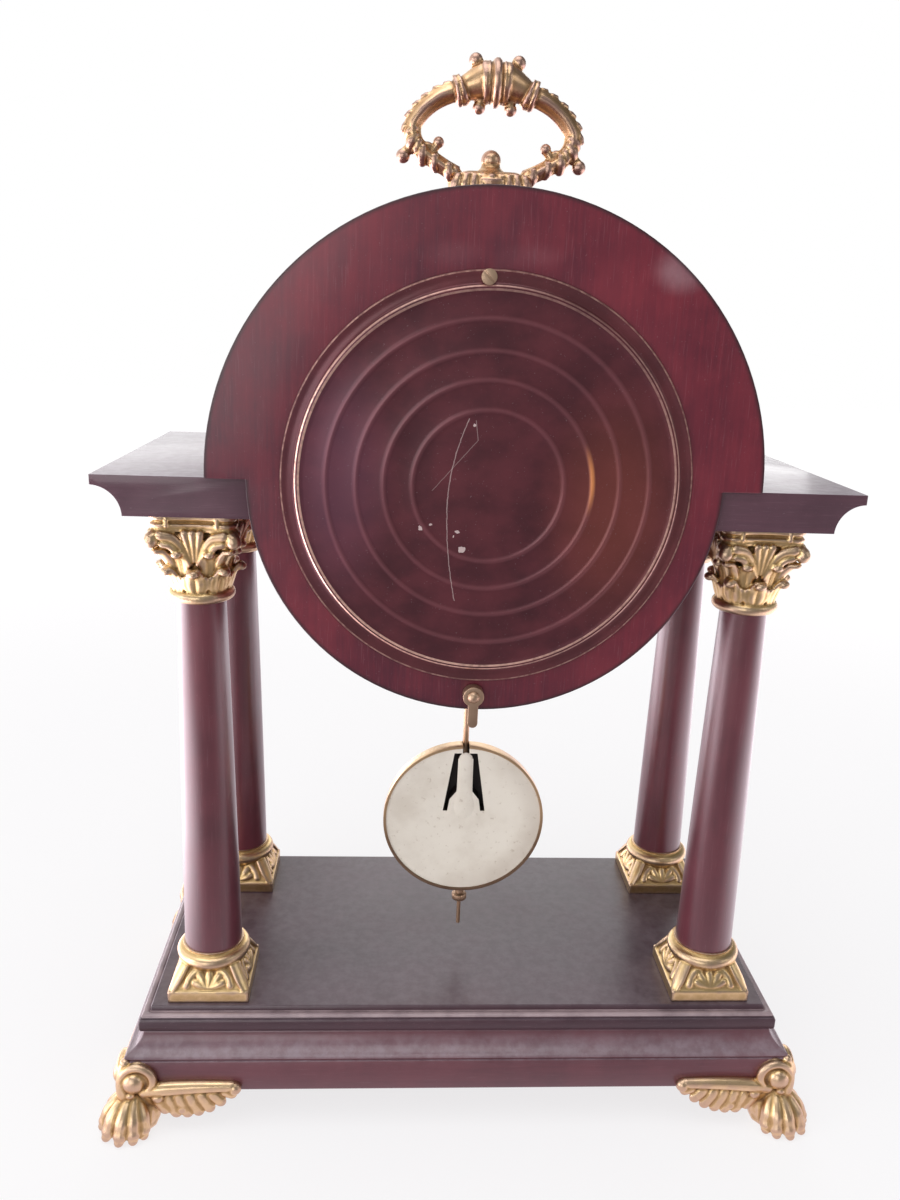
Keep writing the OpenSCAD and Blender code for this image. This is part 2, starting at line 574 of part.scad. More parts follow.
// Going barrel: toothed end, wall, cap, and the spiral mainspring inside
module barrel() color(brass) difference() {
    union() {
        wheel(B, great_n, great_r, ang(B, I), -10.4, -8);
        pin(B, 22, -33, -9);
    }
    pin(B, 21, -34, -10.4);
    pin(B, 2.4 + play, -34, 0);
}
module barrel_cap() color(brass) difference() {
    pin(B, 22, -34.2, -33);
    pin(B, 2.4 + play, -35, -32);
}
turns = 5.5;
function spiral(i, o) = let (t = i / 24, r = 6 + (20.4 - 6) * t / turns + o)
    r * [cos(360 * t), sin(360 * t)];
module mainspring() color("#5b6270") xz(-32, -11.4) translate(B)
    polygon(concat([for (i = [0:24 * turns]) spiral(i, 0.3)], [for (i = [24 * turns:-1:0]) spiral(i, -0.3)]));
function saw(i) = let (a = ratchet_at + 15 * i)
    [B + 9 * [cos(a), sin(a)], B + 7.4 * [cos(a + 14.9), sin(a + 14.9)]];
ratchet_at = 100;
module barrel_arbor() color(steel) {
    pin(B, 2.4, fp_out - 1, bp_out + 3.2);
    pin(B, 5, -32.4, -11);
    translate([B[0] - 1.7, fp_out - 9.4, B[1] - 1.7]) cube([3.4, 8.6, 3.4]);
    xz(bp_out + 0.5, bp_out + 2.5) polygon([for (i = [0:23]) for (q = saw(i)) q]);
}
// Click: its nose stands in one notch of the ratchet, against the steep face
K = B + 15.5 * [cos(ratchet_at + 52), sin(ratchet_at + 52)];
nose = ratchet_at + 15;
module click() color(steel) difference() {
    xz(bp_out + 0.5, bp_out + 2.5) {
        translate(K) circle(r = 2.6);
        polygon([B + 7.7 * [cos(nose - 1.5), sin(nose - 1.5)], B + 8.4 * [cos(nose - 6.5), sin(nose - 6.5)],
            B + 11.6 * [cos(nose - 5), sin(nose - 5)],
            K + 2.4 * [cos(60), sin(60)], K + 2.4 * [cos(240), sin(240)],
            B + 10.2 * [cos(nose + 8), sin(nose + 8)], B + 9.3 * [cos(nose - 1.5), sin(nose - 1.5)]]);
    }
    pin(K, 1.3 + play, bp_out, bp_out + 4);
}
module click_spring() color("#7d8797") {
    pin(K + [-9, 10], 1.2, bp_out, bp_out + 2.6);
    xz(bp_out + 0.7, bp_out + 1.7) polygon([K + [-9.2, 10.4], K + [-8.8, 9.6], K + [0.5, 6.6], K + [4, 4.9],
        K + [4.2, 5.2], K + [0.8, 7]]);
}

module intermediate_wheel() color(brass) {
    arbor(I, 1.2, 0.8);
    wheel(I, inter_n, inter_r, ang(I, C), -38, -36.4);
    lantern(I, inter_pins, inter_pin_r, ang(I, B), -10.9, -7.5);
}
module centre_wheel() color(brass) {
    pin(C, 1.5, fp_out - 0.4, bp_in - 0.4);
    pin(C, 1, bp_in - 1, bp_out);
    wheel(C, centre_n, centre_r, ang(C, T), -6.2, -4.8);
    lantern(C, centre_pins, centre_pin_r, ang(C, I), -39, -35.6);
    wheel(C, cannon_n, cannon_r, ang(C, M), fp_out - 2.4, fp_out - 0.4);
    pin(C, 2, board_in - 2.4, fp_out - 2);
    pin(C, 1.2, board_in - 3.9, board_in - 2.3);
    pin(C, 0.8, board_in - 5.6, board_in - 3.5);
}
module third_wheel() color(brass) {
    arbor(T, 0.9, 0.6);
    wheel(T, third_n, third_r, ang(T, E), -16.4, -15.2);
    lantern(T, third_pins, third_pin_r, ang(T, C), -6.8, -4.3, 0.5);
}
// Thin pointed teeth; both pallets stand a quarter of a pitch from the nearest tooth
function esc_pts() = [for (i = [0:esc_n - 1]) for (k = [[-2.4, -0.4], [0, -0.08], [0, 0.08], [-2.4, 0.4]])
    let (q = esc_r + k[0], a = 180 + half_span + 2.5 + 10 * i + k[1] / q * 180 / PI) q * [cos(a), sin(a)]];
module escape_wheel() color(brass) {
    arbor(E, 0.9, 0.6);
    xz(-27.2, -26) translate(E) polygon(esc_pts());
    pin(E, 2.6, -28, -25.2);
    lantern(E, esc_pins, esc_pin_r, ang(E, T), -17, -14.6, 0.5);
}
// A point at radial height u above the wheel's tips and t along the tangent, for the arm on side s
function pal(s, u, t) = let (a = 180 + s * half_span)
    E + (esc_r + u) * [cos(a), sin(a)] + t * [-sin(a), cos(a)];
module anchor() color(steel) {
    reach = esc_r * tan(half_span);
    pin(A, 1.2, fp_in + 0.4, 5);
    pin(A, 0.6, fp_out, fp_in + 1);
    xz(-28.2, -25) {
        translate(A) circle(r = 3);
        for (s = [-1, 1]) {
            polygon([pal(s, 0.15, -0.2), pal(s, 2.6, -0.5), pal(s, 2.6, 0.5), pal(s, 0.15, 0.2)]);
            polygon([pal(s, 1.1, 0.5 * s), pal(s, 2.7, 0.5 * s),
                pal(s, 2.7, -s * reach), pal(s, 1.1, -s * reach)]);
        }
    }
    difference() {
        union() {
            translate([-1, 3.4, A[1] - 23]) cube([2, 1.4, 23]);
            pin(A, 2.4, 2.8, 5);
            translate([-2.6, 3.4, A[1] - 24]) cube([5.2, 12.4, 2]);
        }
        translate([-rod_r - 0.1, rod_y - 2, A[1] - 25]) cube([2 * rod_r + 0.2, 6, 4]);
    }
}
module motion_wheel() color(brass) difference() {
    union() {
        wheel(M, motion_n, motion_r, ang(M, C) + 180 / motion_n, fp_out - 2, fp_out - 1);
        wheel(M, mpin_n, mpin_r, ang(M, C), fp_out - 4.6, fp_out - 1.5);
    }
    pin(M, 1 + play, fp_out - 6, fp_out);
}
module hour_wheel() color(brass) difference() {
    union() {
        wheel(C, hour_n, hour_r, ang(C, M) + 180 / hour_n, fp_out - 4.2, fp_out - 3.2);
        pin(C, 3, board_in - 1.9, fp_out - 2.8);
    }
    pin(C, 2 + play, board_in - 3, fp_out);
}

// Cock with a slit for the spring; the rod's forked head hangs on the spring's lower end
module suspension_cock() color(brass) difference() {
    union() {
        translate([-9, bp_out, A[1] + 6]) cube([18, 2, 8]);
        translate([-3, bp_out, A[1] + 6]) cube([6, rod_y + 4 - bp_out, 6]);
    }
    translate([-0.13, rod_y - 2.6, A[1] + 5]) cube([0.26, 5.2, 8]);
    for (q = cock_pts) pin(q, screw_r + 0.03, bp_out - 1, bp_out + 3);
}
module suspension_spring() color("#8d94a5") difference() {
    translate([-0.1, rod_y - 2, A[1] - 6]) cube([0.2, 4, 17]);
    translate([-1, rod_y, A[1] - 4]) rotate([0, 90, 0]) cylinder(r = 0.8, h = 2);
}
module pendulum_rod() color("#8f5f45") {
    difference() {
        translate([-2, rod_y - 2.6, A[1] - 9]) cube([4, 5.2, 7]);
        translate([-0.7, rod_y - 3, A[1] - 7]) cube([1.4, 6, 6]);
    }
    translate([-1.5, rod_y, A[1] - 4]) rotate([0, 90, 0]) cylinder(r = 0.4, h = 3);
    translate([0, rod_y, bob_z - bob_r + 2]) cylinder(r = rod_r, h = pendulum_l + bob_r - 10.5);
    translate([0, rod_y, bob_z - bob_r - 16.4]) cylinder(r = 0.7, h = 19);
}
// Lens-shaped bob: a painted back inside a rolled rim, with a socket for the rod between pockets
module bob() color("#d9d4c6") difference() {
    union() {
        pin([0, bob_z], bob_r, rod_y + 2.2, rod_y + 4.8);
        pin([0, bob_z], bob_r - 0.5, rod_y - 1, rod_y + 2.3);
        intersection() {
            translate([0, rod_y + 37.5, bob_z]) sphere(r = 47.7);
            pin([0, bob_z], bob_r - 0.5, rod_y - 12, rod_y - 0.9);
        }
    }
    pin([0, bob_z], bob_r - 0.9, rod_y + 4.2, rod_y + 6);
    for (s = [-1, 1]) xz(rod_y - 1.5, rod_y + 6) translate([0, bob_z])
        polygon([for (q = [[4.05, bob_r - 2.95], [7.5, 3.3], [5.9, 3.3], [5.2, 7.8], [2.75, 11],
            [2.65, bob_r - 5], [0, bob_r - 5], [0, bob_r - 2.95]]) [s * q[0], q[1]]]);
    translate([-rod_r - 0.1, rod_y, bob_z + bob_r - 5]) cube([2 * rod_r + 0.2, 6, 6]);
    translate([0, rod_y, bob_z - bob_r - 1]) cylinder(r = rod_r + 0.06, h = 2 * bob_r + 2);
}
module rating_nut() color(brass) difference() {
    translate([0, rod_y, bob_z - bob_r - 6.3]) {
        cylinder(r = 2.7, h = 2.6);
        cylinder(r = 1.4, h = 6.1);
    }
    translate([0, rod_y, bob_z - bob_r - 7]) cylinder(r = 0.74, h = 8);
}

base_plinth();
base_top();
foot_back_left();
foot_back_right();
foot_front_left();
foot_front_right();
foot_screws();
column_back_left();
column_back_right();
column_front_left();
column_front_right();
capital_back_left();
capital_back_right();
capital_front_left();
capital_front_right();
column_base_back_left();
column_base_back_right();
column_base_front_left();
column_base_front_right();
tie_bolts();
shelf_left();
shelf_right();
drum_shell();
back_board();
front_board();
handle();
handle_nuts();
dust_cover();
cover_screw();
turn_button();
button_screw();
bezel();
glass();
bezel_leaf();
hinge_pin();
dial();
hour_hand();
minute_hand();
hand_nut();
back_plate();
front_plate();
movement_screws();
barrel();
barrel_cap();
mainspring();
barrel_arbor();
click();
click_spring();
intermediate_wheel();
centre_wheel();
third_wheel();
escape_wheel();
anchor();
motion_wheel();
hour_wheel();
suspension_cock();
suspension_spring();
pendulum_rod();
bob();
rating_nut();
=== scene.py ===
# A mantel pendulum clock in mahogany-stained wood with gilt castings, seen from behind.
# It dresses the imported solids, in metres; sizes below are in millimetres unless they say otherwise.
import math

import bmesh
import bpy
import numpy as np
from mathutils import Matrix, Vector


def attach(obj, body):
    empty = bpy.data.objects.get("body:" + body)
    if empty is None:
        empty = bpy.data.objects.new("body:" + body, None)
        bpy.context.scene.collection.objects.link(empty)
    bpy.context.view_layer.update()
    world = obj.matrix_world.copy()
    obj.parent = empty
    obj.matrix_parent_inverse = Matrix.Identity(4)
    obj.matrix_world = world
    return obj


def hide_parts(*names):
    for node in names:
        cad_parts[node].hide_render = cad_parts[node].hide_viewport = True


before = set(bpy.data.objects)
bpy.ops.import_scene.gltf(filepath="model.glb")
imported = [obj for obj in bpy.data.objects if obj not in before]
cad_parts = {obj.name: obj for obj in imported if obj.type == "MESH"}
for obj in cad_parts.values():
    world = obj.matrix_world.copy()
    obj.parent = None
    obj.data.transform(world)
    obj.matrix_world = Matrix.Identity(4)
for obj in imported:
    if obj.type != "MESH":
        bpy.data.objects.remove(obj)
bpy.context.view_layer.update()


# Studio: a white sheet under and behind the clock, a white room and five soft boxes. The camera
# sees plain white; polished faces see a room that is brighter to the left and dimmer behind.
class Wire:
    """A shader value. Arithmetic on it adds Math nodes."""

    def __init__(self, graph, socket):
        self.graph, self.socket = graph, socket

    def maths(self, operation, *values):
        """Adds one Math node that works on the given values in turn."""
        names = {number: value for number, value in enumerate(values)}
        return self.graph.node("Math", {"operation": operation}, names)

    def __add__(self, other):
        return self.maths("ADD", self, other)

    def __sub__(self, other):
        return self.maths("SUBTRACT", self, other)

    def __rsub__(self, other):
        return self.maths("SUBTRACT", other, self)

    def __mul__(self, other):
        return self.maths("MULTIPLY", self, other)

    def __truediv__(self, other):
        return self.maths("DIVIDE", self, other)

    def __pow__(self, other):
        return self.maths("POWER", self, other)

    def __gt__(self, other):
        return self.maths("GREATER_THAN", self, other)

    def __lt__(self, other):
        return self.maths("LESS_THAN", self, other)

    def __abs__(self):
        return self.maths("ABSOLUTE", self)

    def larger(self, other):
        return self.maths("MAXIMUM", self, other)

    def within(self, low, high):
        """1 between low and high, and 0 elsewhere."""
        return (self > low) * (self < high)

    def clip(self, low, high):
        """Carries the span from low to high onto 0 to 1, softly at both ends."""
        spans = {"Value": self, "From Min": low, "From Max": high}
        return self.graph.node("MapRange", {"interpolation_type": "SMOOTHSTEP"}, spans)

    __radd__, __rmul__ = __add__, __mul__


class Finish:
    """The node graph of one material, or of the room."""

    def __init__(self, name, owner=None):
        self.owner = owner or bpy.data.materials.new(name)
        self.owner.use_nodes = True
        self.tree = self.owner.node_tree
        self.tree.nodes.clear()

    def node(self, kind, settings=None, sockets=None, out=0):
        """Adds a node, sets its settings, then its sockets, and gives its output number out."""
        made = self.tree.nodes.new("ShaderNode" + kind)
        for key, value in (settings or {}).items():
            setattr(made, key, value)
        for key, value in (sockets or {}).items():
            socket = made.inputs[key]
            if isinstance(value, Wire):
                self.tree.links.new(value.socket, socket)
            elif isinstance(value, tuple) and len(value) == 3 and socket.type == "RGBA":
                socket.default_value = (*value, 1)
            else:
                socket.default_value = value
        return Wire(self, made.outputs[out]) if made.outputs else None

    def place(self, *scale):
        """Object coordinates in metres, times a scale for each axis."""
        where = self.node("TexCoord", out=3)
        return self.node("VectorMath", {"operation": "MULTIPLY"}, {0: where, 1: scale})

    def along(self):
        """The x, y and z of the object coordinates, in millimetres, as three values."""
        where = self.place(1000, 1000, 1000)
        return [self.node("SeparateXYZ", None, {0: where}, out=axis) for axis in range(3)]

    def facing(self, axis):
        """How far the surface looks along the x, y or z axis, from -1 to 1."""
        return self.node("SeparateXYZ", None, {0: self.node("NewGeometry", out=1)}, out=axis)

    def noise(self, scale, detail=3.0, rough=0.5):
        """Cloudy noise from 0 to 1 with features of 1 / scale metres, one scale or one an axis."""
        where = self.place(*(scale if isinstance(scale, tuple) else (scale, scale, scale)))
        spots = {"Vector": where, "Scale": 1.0, "Detail": detail, "Roughness": rough}
        return self.node("TexNoise", None, spots)

    def blend(self, amount, first, second):
        """The first colour where amount is 0 and the second where it is 1."""
        mixed = {0: amount, 6: first, 7: second}
        return self.node("Mix", {"data_type": "RGBA", "clamp_factor": True}, mixed, out=2)

    def bump(self, height, depth_mm, strength=1.0):
        """A normal that follows a height from 0 to 1, worth depth_mm at 1."""
        relief = {"Strength": strength, "Distance": depth_mm / 1000, "Height": height}
        return self.node("Bump", None, relief)

    def surface(self, **sockets):
        """Ends the graph in one Principled shader; underscores stand for spaces."""
        named = {key.replace("_", " "): value for key, value in sockets.items()}
        shader = self.node("BsdfPrincipled", None, named)
        self.node("OutputMaterial", None, {"Surface": shader})
        return self.owner


room_light, sky_ahead, sky_behind = 0.42, 0.62, 0.28
left_gain, top_loss = 1.1, 0.45
room = Finish("room", bpy.data.worlds.new("room"))
bpy.context.scene.world = room.owner
straight, glancing, through = [room.node("LightPath", out=output) for output in (0, 3, 6)]
toward = room.node("NewGeometry", out=0)
leftward, backward, skyward = [
    room.node("SeparateXYZ", None, {0: toward}, out=axis) for axis in range(3)
]
ahead_glow = leftward.clip(-0.45, 0.35) * left_gain - skyward.clip(0.15, 0.6) * top_loss + sky_ahead
behind = backward.clip(-0.1, 0.6)
mirrored_sky = ahead_glow * (1.0 - behind) + behind * sky_behind
plain = straight.larger(through)
strength = (glancing * (mirrored_sky - room_light) + room_light) * (1.0 - plain) + plain
white = room.node("Background", None, {"Color": (1.0, 1.0, 1.0), "Strength": strength})
room.node("OutputWorld", None, {"Surface": white})

# In polished faces the sheet glows beside the clock and fades behind it
sheet = Finish("white_sheet")
paper = sheet.node("BsdfDiffuse", None, {"Color": (0.86, 0.86, 0.87)})
straight, glancing = [sheet.node("LightPath", out=output) for output in (0, 3)]
x, y, _ = sheet.along()
far_off = ((x * x + y * y) ** 0.5).clip(200, 900)
by_sides = (x.clip(120, 340) * 6.0 + (0.0 - x).clip(120, 340) * 1.8) * (1.0 - y.clip(150, 450))
polished_sees = by_sides - y.clip(60, 240) * 0.72 + 1.0
glow = straight * 1.03 + glancing * polished_sees
tint = sheet.blend(glancing, (1.0, 0.99, 1.0), (1.0, 0.89, 0.96))
lit = sheet.node("Emission", None, {"Color": tint, "Strength": glow})
share = straight * (far_off * 0.26 + 0.74) + glancing * 0.9
both = sheet.node("MixShader", None, {0: share, 1: paper, 2: lit})
sheet.node("OutputMaterial", None, {"Surface": both})
half = 3.0
floor_mesh = bpy.data.meshes.new("floor")
floor_corners = [(-half, -half, 0), (half, -half, 0), (half, half, 0), (-half, half, 0)]
floor_mesh.from_pydata(floor_corners, [], [(0, 1, 2, 3)])
floor_mesh.materials.append(sheet.owner)
floor = bpy.data.objects.new("floor", floor_mesh)
bpy.context.collection.objects.link(floor)


def soft_box(name, place, target, size, watts):
    """A square area lamp in metres that faces its target."""
    lamp = bpy.data.lights.new(name, "AREA")
    lamp.energy, lamp.size = watts, size
    holder = bpy.data.objects.new(name, lamp)
    bpy.context.collection.objects.link(holder)
    facing = Vector(target) - Vector(place)
    holder.location = place
    holder.rotation_euler = facing.to_track_quat("-Z", "Y").to_euler()


soft_box("box_above", (0.15, 0.25, 1.35), (0, 0, 0.15), 1.1, 7.0)
soft_box("window_left", (1.25, 0.62, 0.45), (0, 0, 0.2), 0.7, 5.5)
soft_box("window_behind", (0.55, 1.35, 0.42), (0, 0, 0.2), 0.8, 4.5)
soft_box("box_right", (-1.2, 0.6, 0.75), (0, 0, 0.2), 0.6, 1.2)
soft_box("box_dial_side", (-0.3, -1.4, 0.7), (0, 0, 0.2), 0.9, 4.0)

# The camera stands where the photographer stood, behind the clock and a little above the dial.
eye = (0.02686, 0.33682, 0.27026)
yaw, pitch, roll = math.radians(3.43), math.radians(16.07), math.radians(2.15)
focal_px, frame_px, sensor_mm = 994.57, 1200, 36.0
flat_ahead = np.array([-math.sin(yaw), -math.cos(yaw), 0])
ahead = flat_ahead * math.cos(pitch) - np.array([0, 0, math.sin(pitch)])
level = np.array([-math.cos(yaw), math.sin(yaw), 0])
upright = np.cross(level, ahead)
right = math.cos(roll) * level + math.sin(roll) * upright
upward = math.cos(roll) * upright - math.sin(roll) * level
camera = bpy.data.objects.new("camera", bpy.data.cameras.new("camera"))
camera.data.sensor_fit = "VERTICAL"
camera.data.sensor_height = sensor_mm
camera.data.lens = sensor_mm * focal_px / frame_px
camera.data.clip_start = 0.01
turned_frame = np.column_stack([right, upward, -ahead])
camera.matrix_world = Matrix(turned_frame.tolist()).to_4x4()
camera.location = eye
bpy.context.collection.objects.link(camera)
bpy.context.scene.camera = camera
bpy.context.scene.view_settings.view_transform = "Standard"


# Base: a reddish plinth with a cove round its top edge, and a dark polished board on it.
# Both are solid wood, planed to a moulding and mitred at the corners.
def shells(*grids):
    """Joins grids of points, whose columns close on themselves, and caps both their ends."""
    points, faces, start = [], [], 0
    for grid in grids:
        rows, columns = grid.shape[:2]
        row, column = np.meshgrid(np.arange(rows - 1), np.arange(columns), indexing="ij")
        following = (column + 1) % columns
        corners = [row * columns + column, row * columns + following]
        corners += [corners[1] + columns, corners[0] + columns]
        faces += (np.stack(corners, -1).reshape(-1, 4) + start).tolist()
        ring, last = np.arange(columns), rows * columns
        for hub, first in ((last, 0), (last + 1, (rows - 1) * columns)):
            fan = [np.full(columns, hub), ring + first, (ring + 1) % columns + first]
            faces += (np.stack(fan, -1) + start).tolist()
        points += [grid.reshape(-1, 3), grid[0].mean(0)[None], grid[-1].mean(0)[None]]
        start += last + 2
    return np.concatenate(points), faces


def set_down(name, mesh, finish, sharp, body, replaced):
    """Gives a mesh its finish and its place; it is smooth where it bends by less than sharp
    degrees."""
    mesh.materials.append(finish)
    mesh.shade_smooth()
    mesh.set_sharp_from_angle(angle=math.radians(sharp))
    made = bpy.data.objects.new(name, mesh)
    bpy.context.collection.objects.link(made)
    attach(made, body)
    if replaced:
        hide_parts(*replaced)


def piece(name, shape, finish, body, replaced=(), sharp=38, hollow=None):
    """Makes a piece from points in millimetres and faces. A casting brings its own outward faces
    and the depth of its hollows; any other shape is merged and has its faces turned outwards."""
    points, faces = shape
    mesh = bpy.data.meshes.new(name)
    mesh.from_pydata((np.asarray(points) / 1000).tolist(), [], faces)
    if hollow is not None:
        mesh.attributes.new("hollow", "FLOAT", "POINT").data.foreach_set("value", hollow)
    else:
        same_place = 1e-7
        skin = bmesh.new()
        skin.from_mesh(mesh)
        bmesh.ops.remove_doubles(skin, verts=skin.verts, dist=same_place)
        bmesh.ops.dissolve_degenerate(skin, edges=skin.edges, dist=same_place)
        bmesh.ops.recalc_face_normals(skin, faces=skin.faces)
        skin.to_mesh(mesh)
        skin.free()
    set_down(name, mesh, finish, sharp, body, replaced)


def arc(across, height, radius, start, end, steps=8):
    """Points on a circle about (across, height), from one angle to another in degrees."""
    angle = np.radians(np.linspace(start, end, steps))
    return [(across + radius * math.cos(a), height + radius * math.sin(a)) for a in angle]


def moulding(section, half_width, half_depth, corner=0.7, steps=5):
    """Carries a section of (inset, height) points round a rectangle with slightly eased corners."""
    inset, height = np.array(section, float).T[:, :, None]
    angle = np.concatenate([np.linspace(q, q + 1, steps) for q in range(4)]) * math.pi / 2
    sign_x, sign_y = np.repeat([1, -1, -1, 1], steps), np.repeat([1, 1, -1, -1], steps)
    x = sign_x * (half_width - inset - corner) + corner * np.cos(angle)
    y = sign_y * (half_depth - inset - corner) + corner * np.sin(angle)
    return np.stack([x, y, height + 0 * x], -1)


# The drum's centre lies level with the shelves' tops; above them the drum is wider
shelf_top, drum_r_up, drum_r_low = 222.4, 81.6, 69.8


def oval(x, z, centre, half, core=0.1, edge=1.0):
    """A soft oval patch: 1 inside core and 0 past edge, as shares of its half sizes."""
    off_x, off_z = (x - centre[0]) / half[0], (z - centre[1]) / half[1]
    return 1.0 - ((off_x * off_x + off_z * off_z) ** 0.5).clip(core, edge)


def wood(
    name, deep, ruddy, grain, gloss, coat, dust_and_sheen=0.0, blooms=(), coat_gloss=0.14, edge_shade_from=0, worn=None
):
    """Stained and lacquered wood. grain is the scale of the fine figure along x, y and z.

    The dust-and-sheen amount greys the faces that look up: partly dust, partly a painted sheen
    of the bright room on them. blooms are pale patches (x, z, half width, half height,
    strength). Past the edge-shade radius about the drum's centre, and as much further out above
    the shelves as the drum is wider there, the flat faces are painted dark: a painted reflection
    of the dark that the board's rounded edge shows. worn is a span of heights where a pale line
    is painted: a painted highlight along the top of a bead.
    """
    fibre, grey_dust_and_sheen, pale_bloom = (0.42, 0.33, 0.37), (0.40, 0.35, 0.40), (0.36, 0.22, 0.25)
    bead_highlight, painted_edge_dark, edge_shade_width = (0.46, 0.35, 0.37), (0.016, 0.008, 0.012), 1.6
    stain = Finish(name)
    figure = stain.noise(grain, 5.0, 0.65)
    cloud = stain.noise((14, 14, 10), 3.0)
    patch = stain.noise((75, 75, 60), 4.0, 0.6)
    tone = figure.clip(0.3, 0.7) * 0.2 + cloud.clip(0.3, 0.7) * 0.5 + patch.clip(0.3, 0.7) * 0.3
    colour = stain.blend(tone, deep, ruddy)
    specks = stain.noise(2300, 1.0).clip(0.72, 0.80)
    hairs = stain.noise(tuple(4 * s for s in grain), 1.0).clip(0.64, 0.74)
    colour = stain.blend(specks * 0.2 + hairs * 0.05, colour, fibre)
    if blooms or worn or edge_shade_from:
        x, _, z = stain.along()
    # Faces that look up turn grey: partly dust, partly a painted sheen of the bright room
    if dust_and_sheen:
        mottle = stain.noise(260, 4.0, 0.65).clip(0.3, 0.7)
        lying = patch.clip(0.2, 0.8) * 0.3 + mottle * 0.4 + 0.3
        colour = stain.blend(stain.facing(2).clip(0.1, 0.95) * lying * dust_and_sheen, colour, grey_dust_and_sheen)
    for at_x, at_z, wide, high, amount in blooms:
        near = oval(x, z, (at_x, at_z), (wide, high)) * (patch.clip(0.3, 0.7) * 0.5 + 0.4)
        colour = stain.blend(near * amount, colour, pale_bloom)
    # A pale line over the worn span of heights: a painted highlight along the bead's top, not wear
    if worn:
        rubbed = z.within(*worn) * (patch.clip(0.2, 0.7) * 0.6 + 0.3)
        colour = stain.blend(rubbed, colour, bead_highlight)
    # Near the drum's edge the flat faces are painted dark: a painted reflection of the dark that the
    # rounded edge shows
    if edge_shade_from:
        up = z - shelf_top
        from_centre = (x * x + up * up) ** 0.5 - (up > 0) * (drum_r_up - drum_r_low)
        flat_on = abs(stain.facing(1)).clip(0.1, 0.6)
        in_edge_shade = from_centre.clip(edge_shade_from, edge_shade_from + edge_shade_width)
        colour = stain.blend(in_edge_shade * flat_on * 0.85, colour, painted_edge_dark)
    return stain.surface(
        Base_Color=colour,
        Roughness=gloss + patch.clip(0.3, 0.8) * 0.10 + specks * 0.25,
        Normal=stain.bump(figure, 0.03, 0.5),
        Coat_Weight=coat,
        Coat_Roughness=coat_gloss,
    )


base_w, base_d, foot_h, plinth_t, top_t = 227, 114, 15.4, 19.5, 7.6
seam = foot_h + plinth_t
cove_r, bead_r = 8, 1.4
plinth_section = [(1.2, foot_h), (0.3, foot_h + 0.25), (0, foot_h + 0.9), (0, seam - 8.1)]
plinth_section += [(0.12, seam - 7.9), (0.7, seam - 7.8), (0.75, seam - 7.4), (0.35, seam - 7.1)]
plinth_section += [
    (-2 + cove_r * math.cos(a), seam + 1 - cove_r * math.sin(a))
    for a in np.linspace(1.22, 0.16, 12)
]
plinth_section += [(6.2, seam)]
plinth_wood = wood(
    "mahogany_across", (0.075, 0.022, 0.032), (0.150, 0.042, 0.056), (35, 900, 900), 0.32, 0.2,
    dust_and_sheen=0.55,
)
plinth_shape = shells(moulding(plinth_section, base_w / 2, base_d / 2))
piece("plinth", plinth_shape, plinth_wood, "case", ["base_plinth"])
top_section = [(1.0, seam), (0.25, seam + 0.2), (0, seam + 0.8), (0, seam + 3.7)]
top_section += [(0.3, seam + 4.3), (0.9, seam + 4.5)]
top_section += [
    (2 - bead_r * math.cos(a), seam + 4.5 + bead_r * math.sin(a))
    for a in np.linspace(0.1, 2.3, 9)
]
top_section += [(3.1, seam + 5.2), (3.4, seam + 6.1), (3.5, seam + 7.1), (3.9, seam + top_t)]
# The pale line along its bead is a painted highlight
dark_wood = wood(
    "dark_polished_wood", (0.040, 0.018, 0.026), (0.070, 0.028, 0.040), (40, 900, 900), 0.30, 0.06,
    dust_and_sheen=0.28, worn=(seam + 5.1, seam + 5.9),
)
top_shape = shells(moulding(top_section, base_w / 2 - 4.5, base_d / 2 - 5))
piece("top_board", top_shape, dark_wood, "case", ["base_top"])


# Feet: one gilt casting a corner, screwed up into the plinth. A paw with seven toes stands under
# the corner, a scroll with a ball lies on each face, and a feathered wing runs along each face.
def tube(path, radius, sides=12, flat=1.0, up=(0, 0, 1)):
    """A round or flattened bar along a path: two radii, the second flat times the first."""
    path = np.asarray(path, float)
    along = np.gradient(path, axis=0)
    along /= np.linalg.norm(along, axis=1)[:, None]
    side = np.cross(along, np.asarray(up, float))
    side /= np.linalg.norm(side, axis=1)[:, None]
    lift = np.cross(side, along)
    angle = np.linspace(0, 2 * math.pi, sides, endpoint=False)[None, :, None]
    radius = np.broadcast_to(np.asarray(radius, float), len(path))[:, None, None]
    ring = np.cos(angle) * side[:, None] + flat * np.sin(angle) * lift[:, None]
    return path[:, None] + radius * ring


def curve(points, steps=20):
    """A smooth run through a few points, each row of which may hold radii after x, y and z."""
    points = np.asarray(points, float)
    ends = [2 * points[0] - points[1], *points, 2 * points[-1] - points[-2]]
    knots = np.stack(ends)
    place = np.linspace(0, len(points) - 1 - 1e-9, steps)
    cell = place.astype(int)
    t = (place - cell)[:, None]
    a, b, c, d = (knots[cell + k] for k in range(4))
    near = 2 * b + (c - a) * t
    return 0.5 * (near + (2 * a - 5 * b + 4 * c - d) * t**2 + (3 * b - a - 3 * c + d) * t**3)


def bar(points, steps=20, **shape):
    """A tube through (x, y, z, radius) points, with rounded ends."""
    run = curve(points, steps)
    way, radius = run[:, :3], run[:, 3]
    tips = []
    for end, inner in ((0, 1), (-1, -2)):
        out = way[end] - way[inner]
        out /= np.linalg.norm(out)
        for angle in (0.5, 1.0, 1.45):
            tip = way[end] + out * radius[end] * math.sin(angle)
            tips.append((tip, radius[end] * math.cos(angle)))
    first, last = tips[2::-1], tips[3:]
    way = np.concatenate([[q for q, _ in first], way, [q for q, _ in last]])
    radius = np.concatenate([[r for _, r in first], radius, [r for _, r in last]])
    return tube(way, radius, **shape)


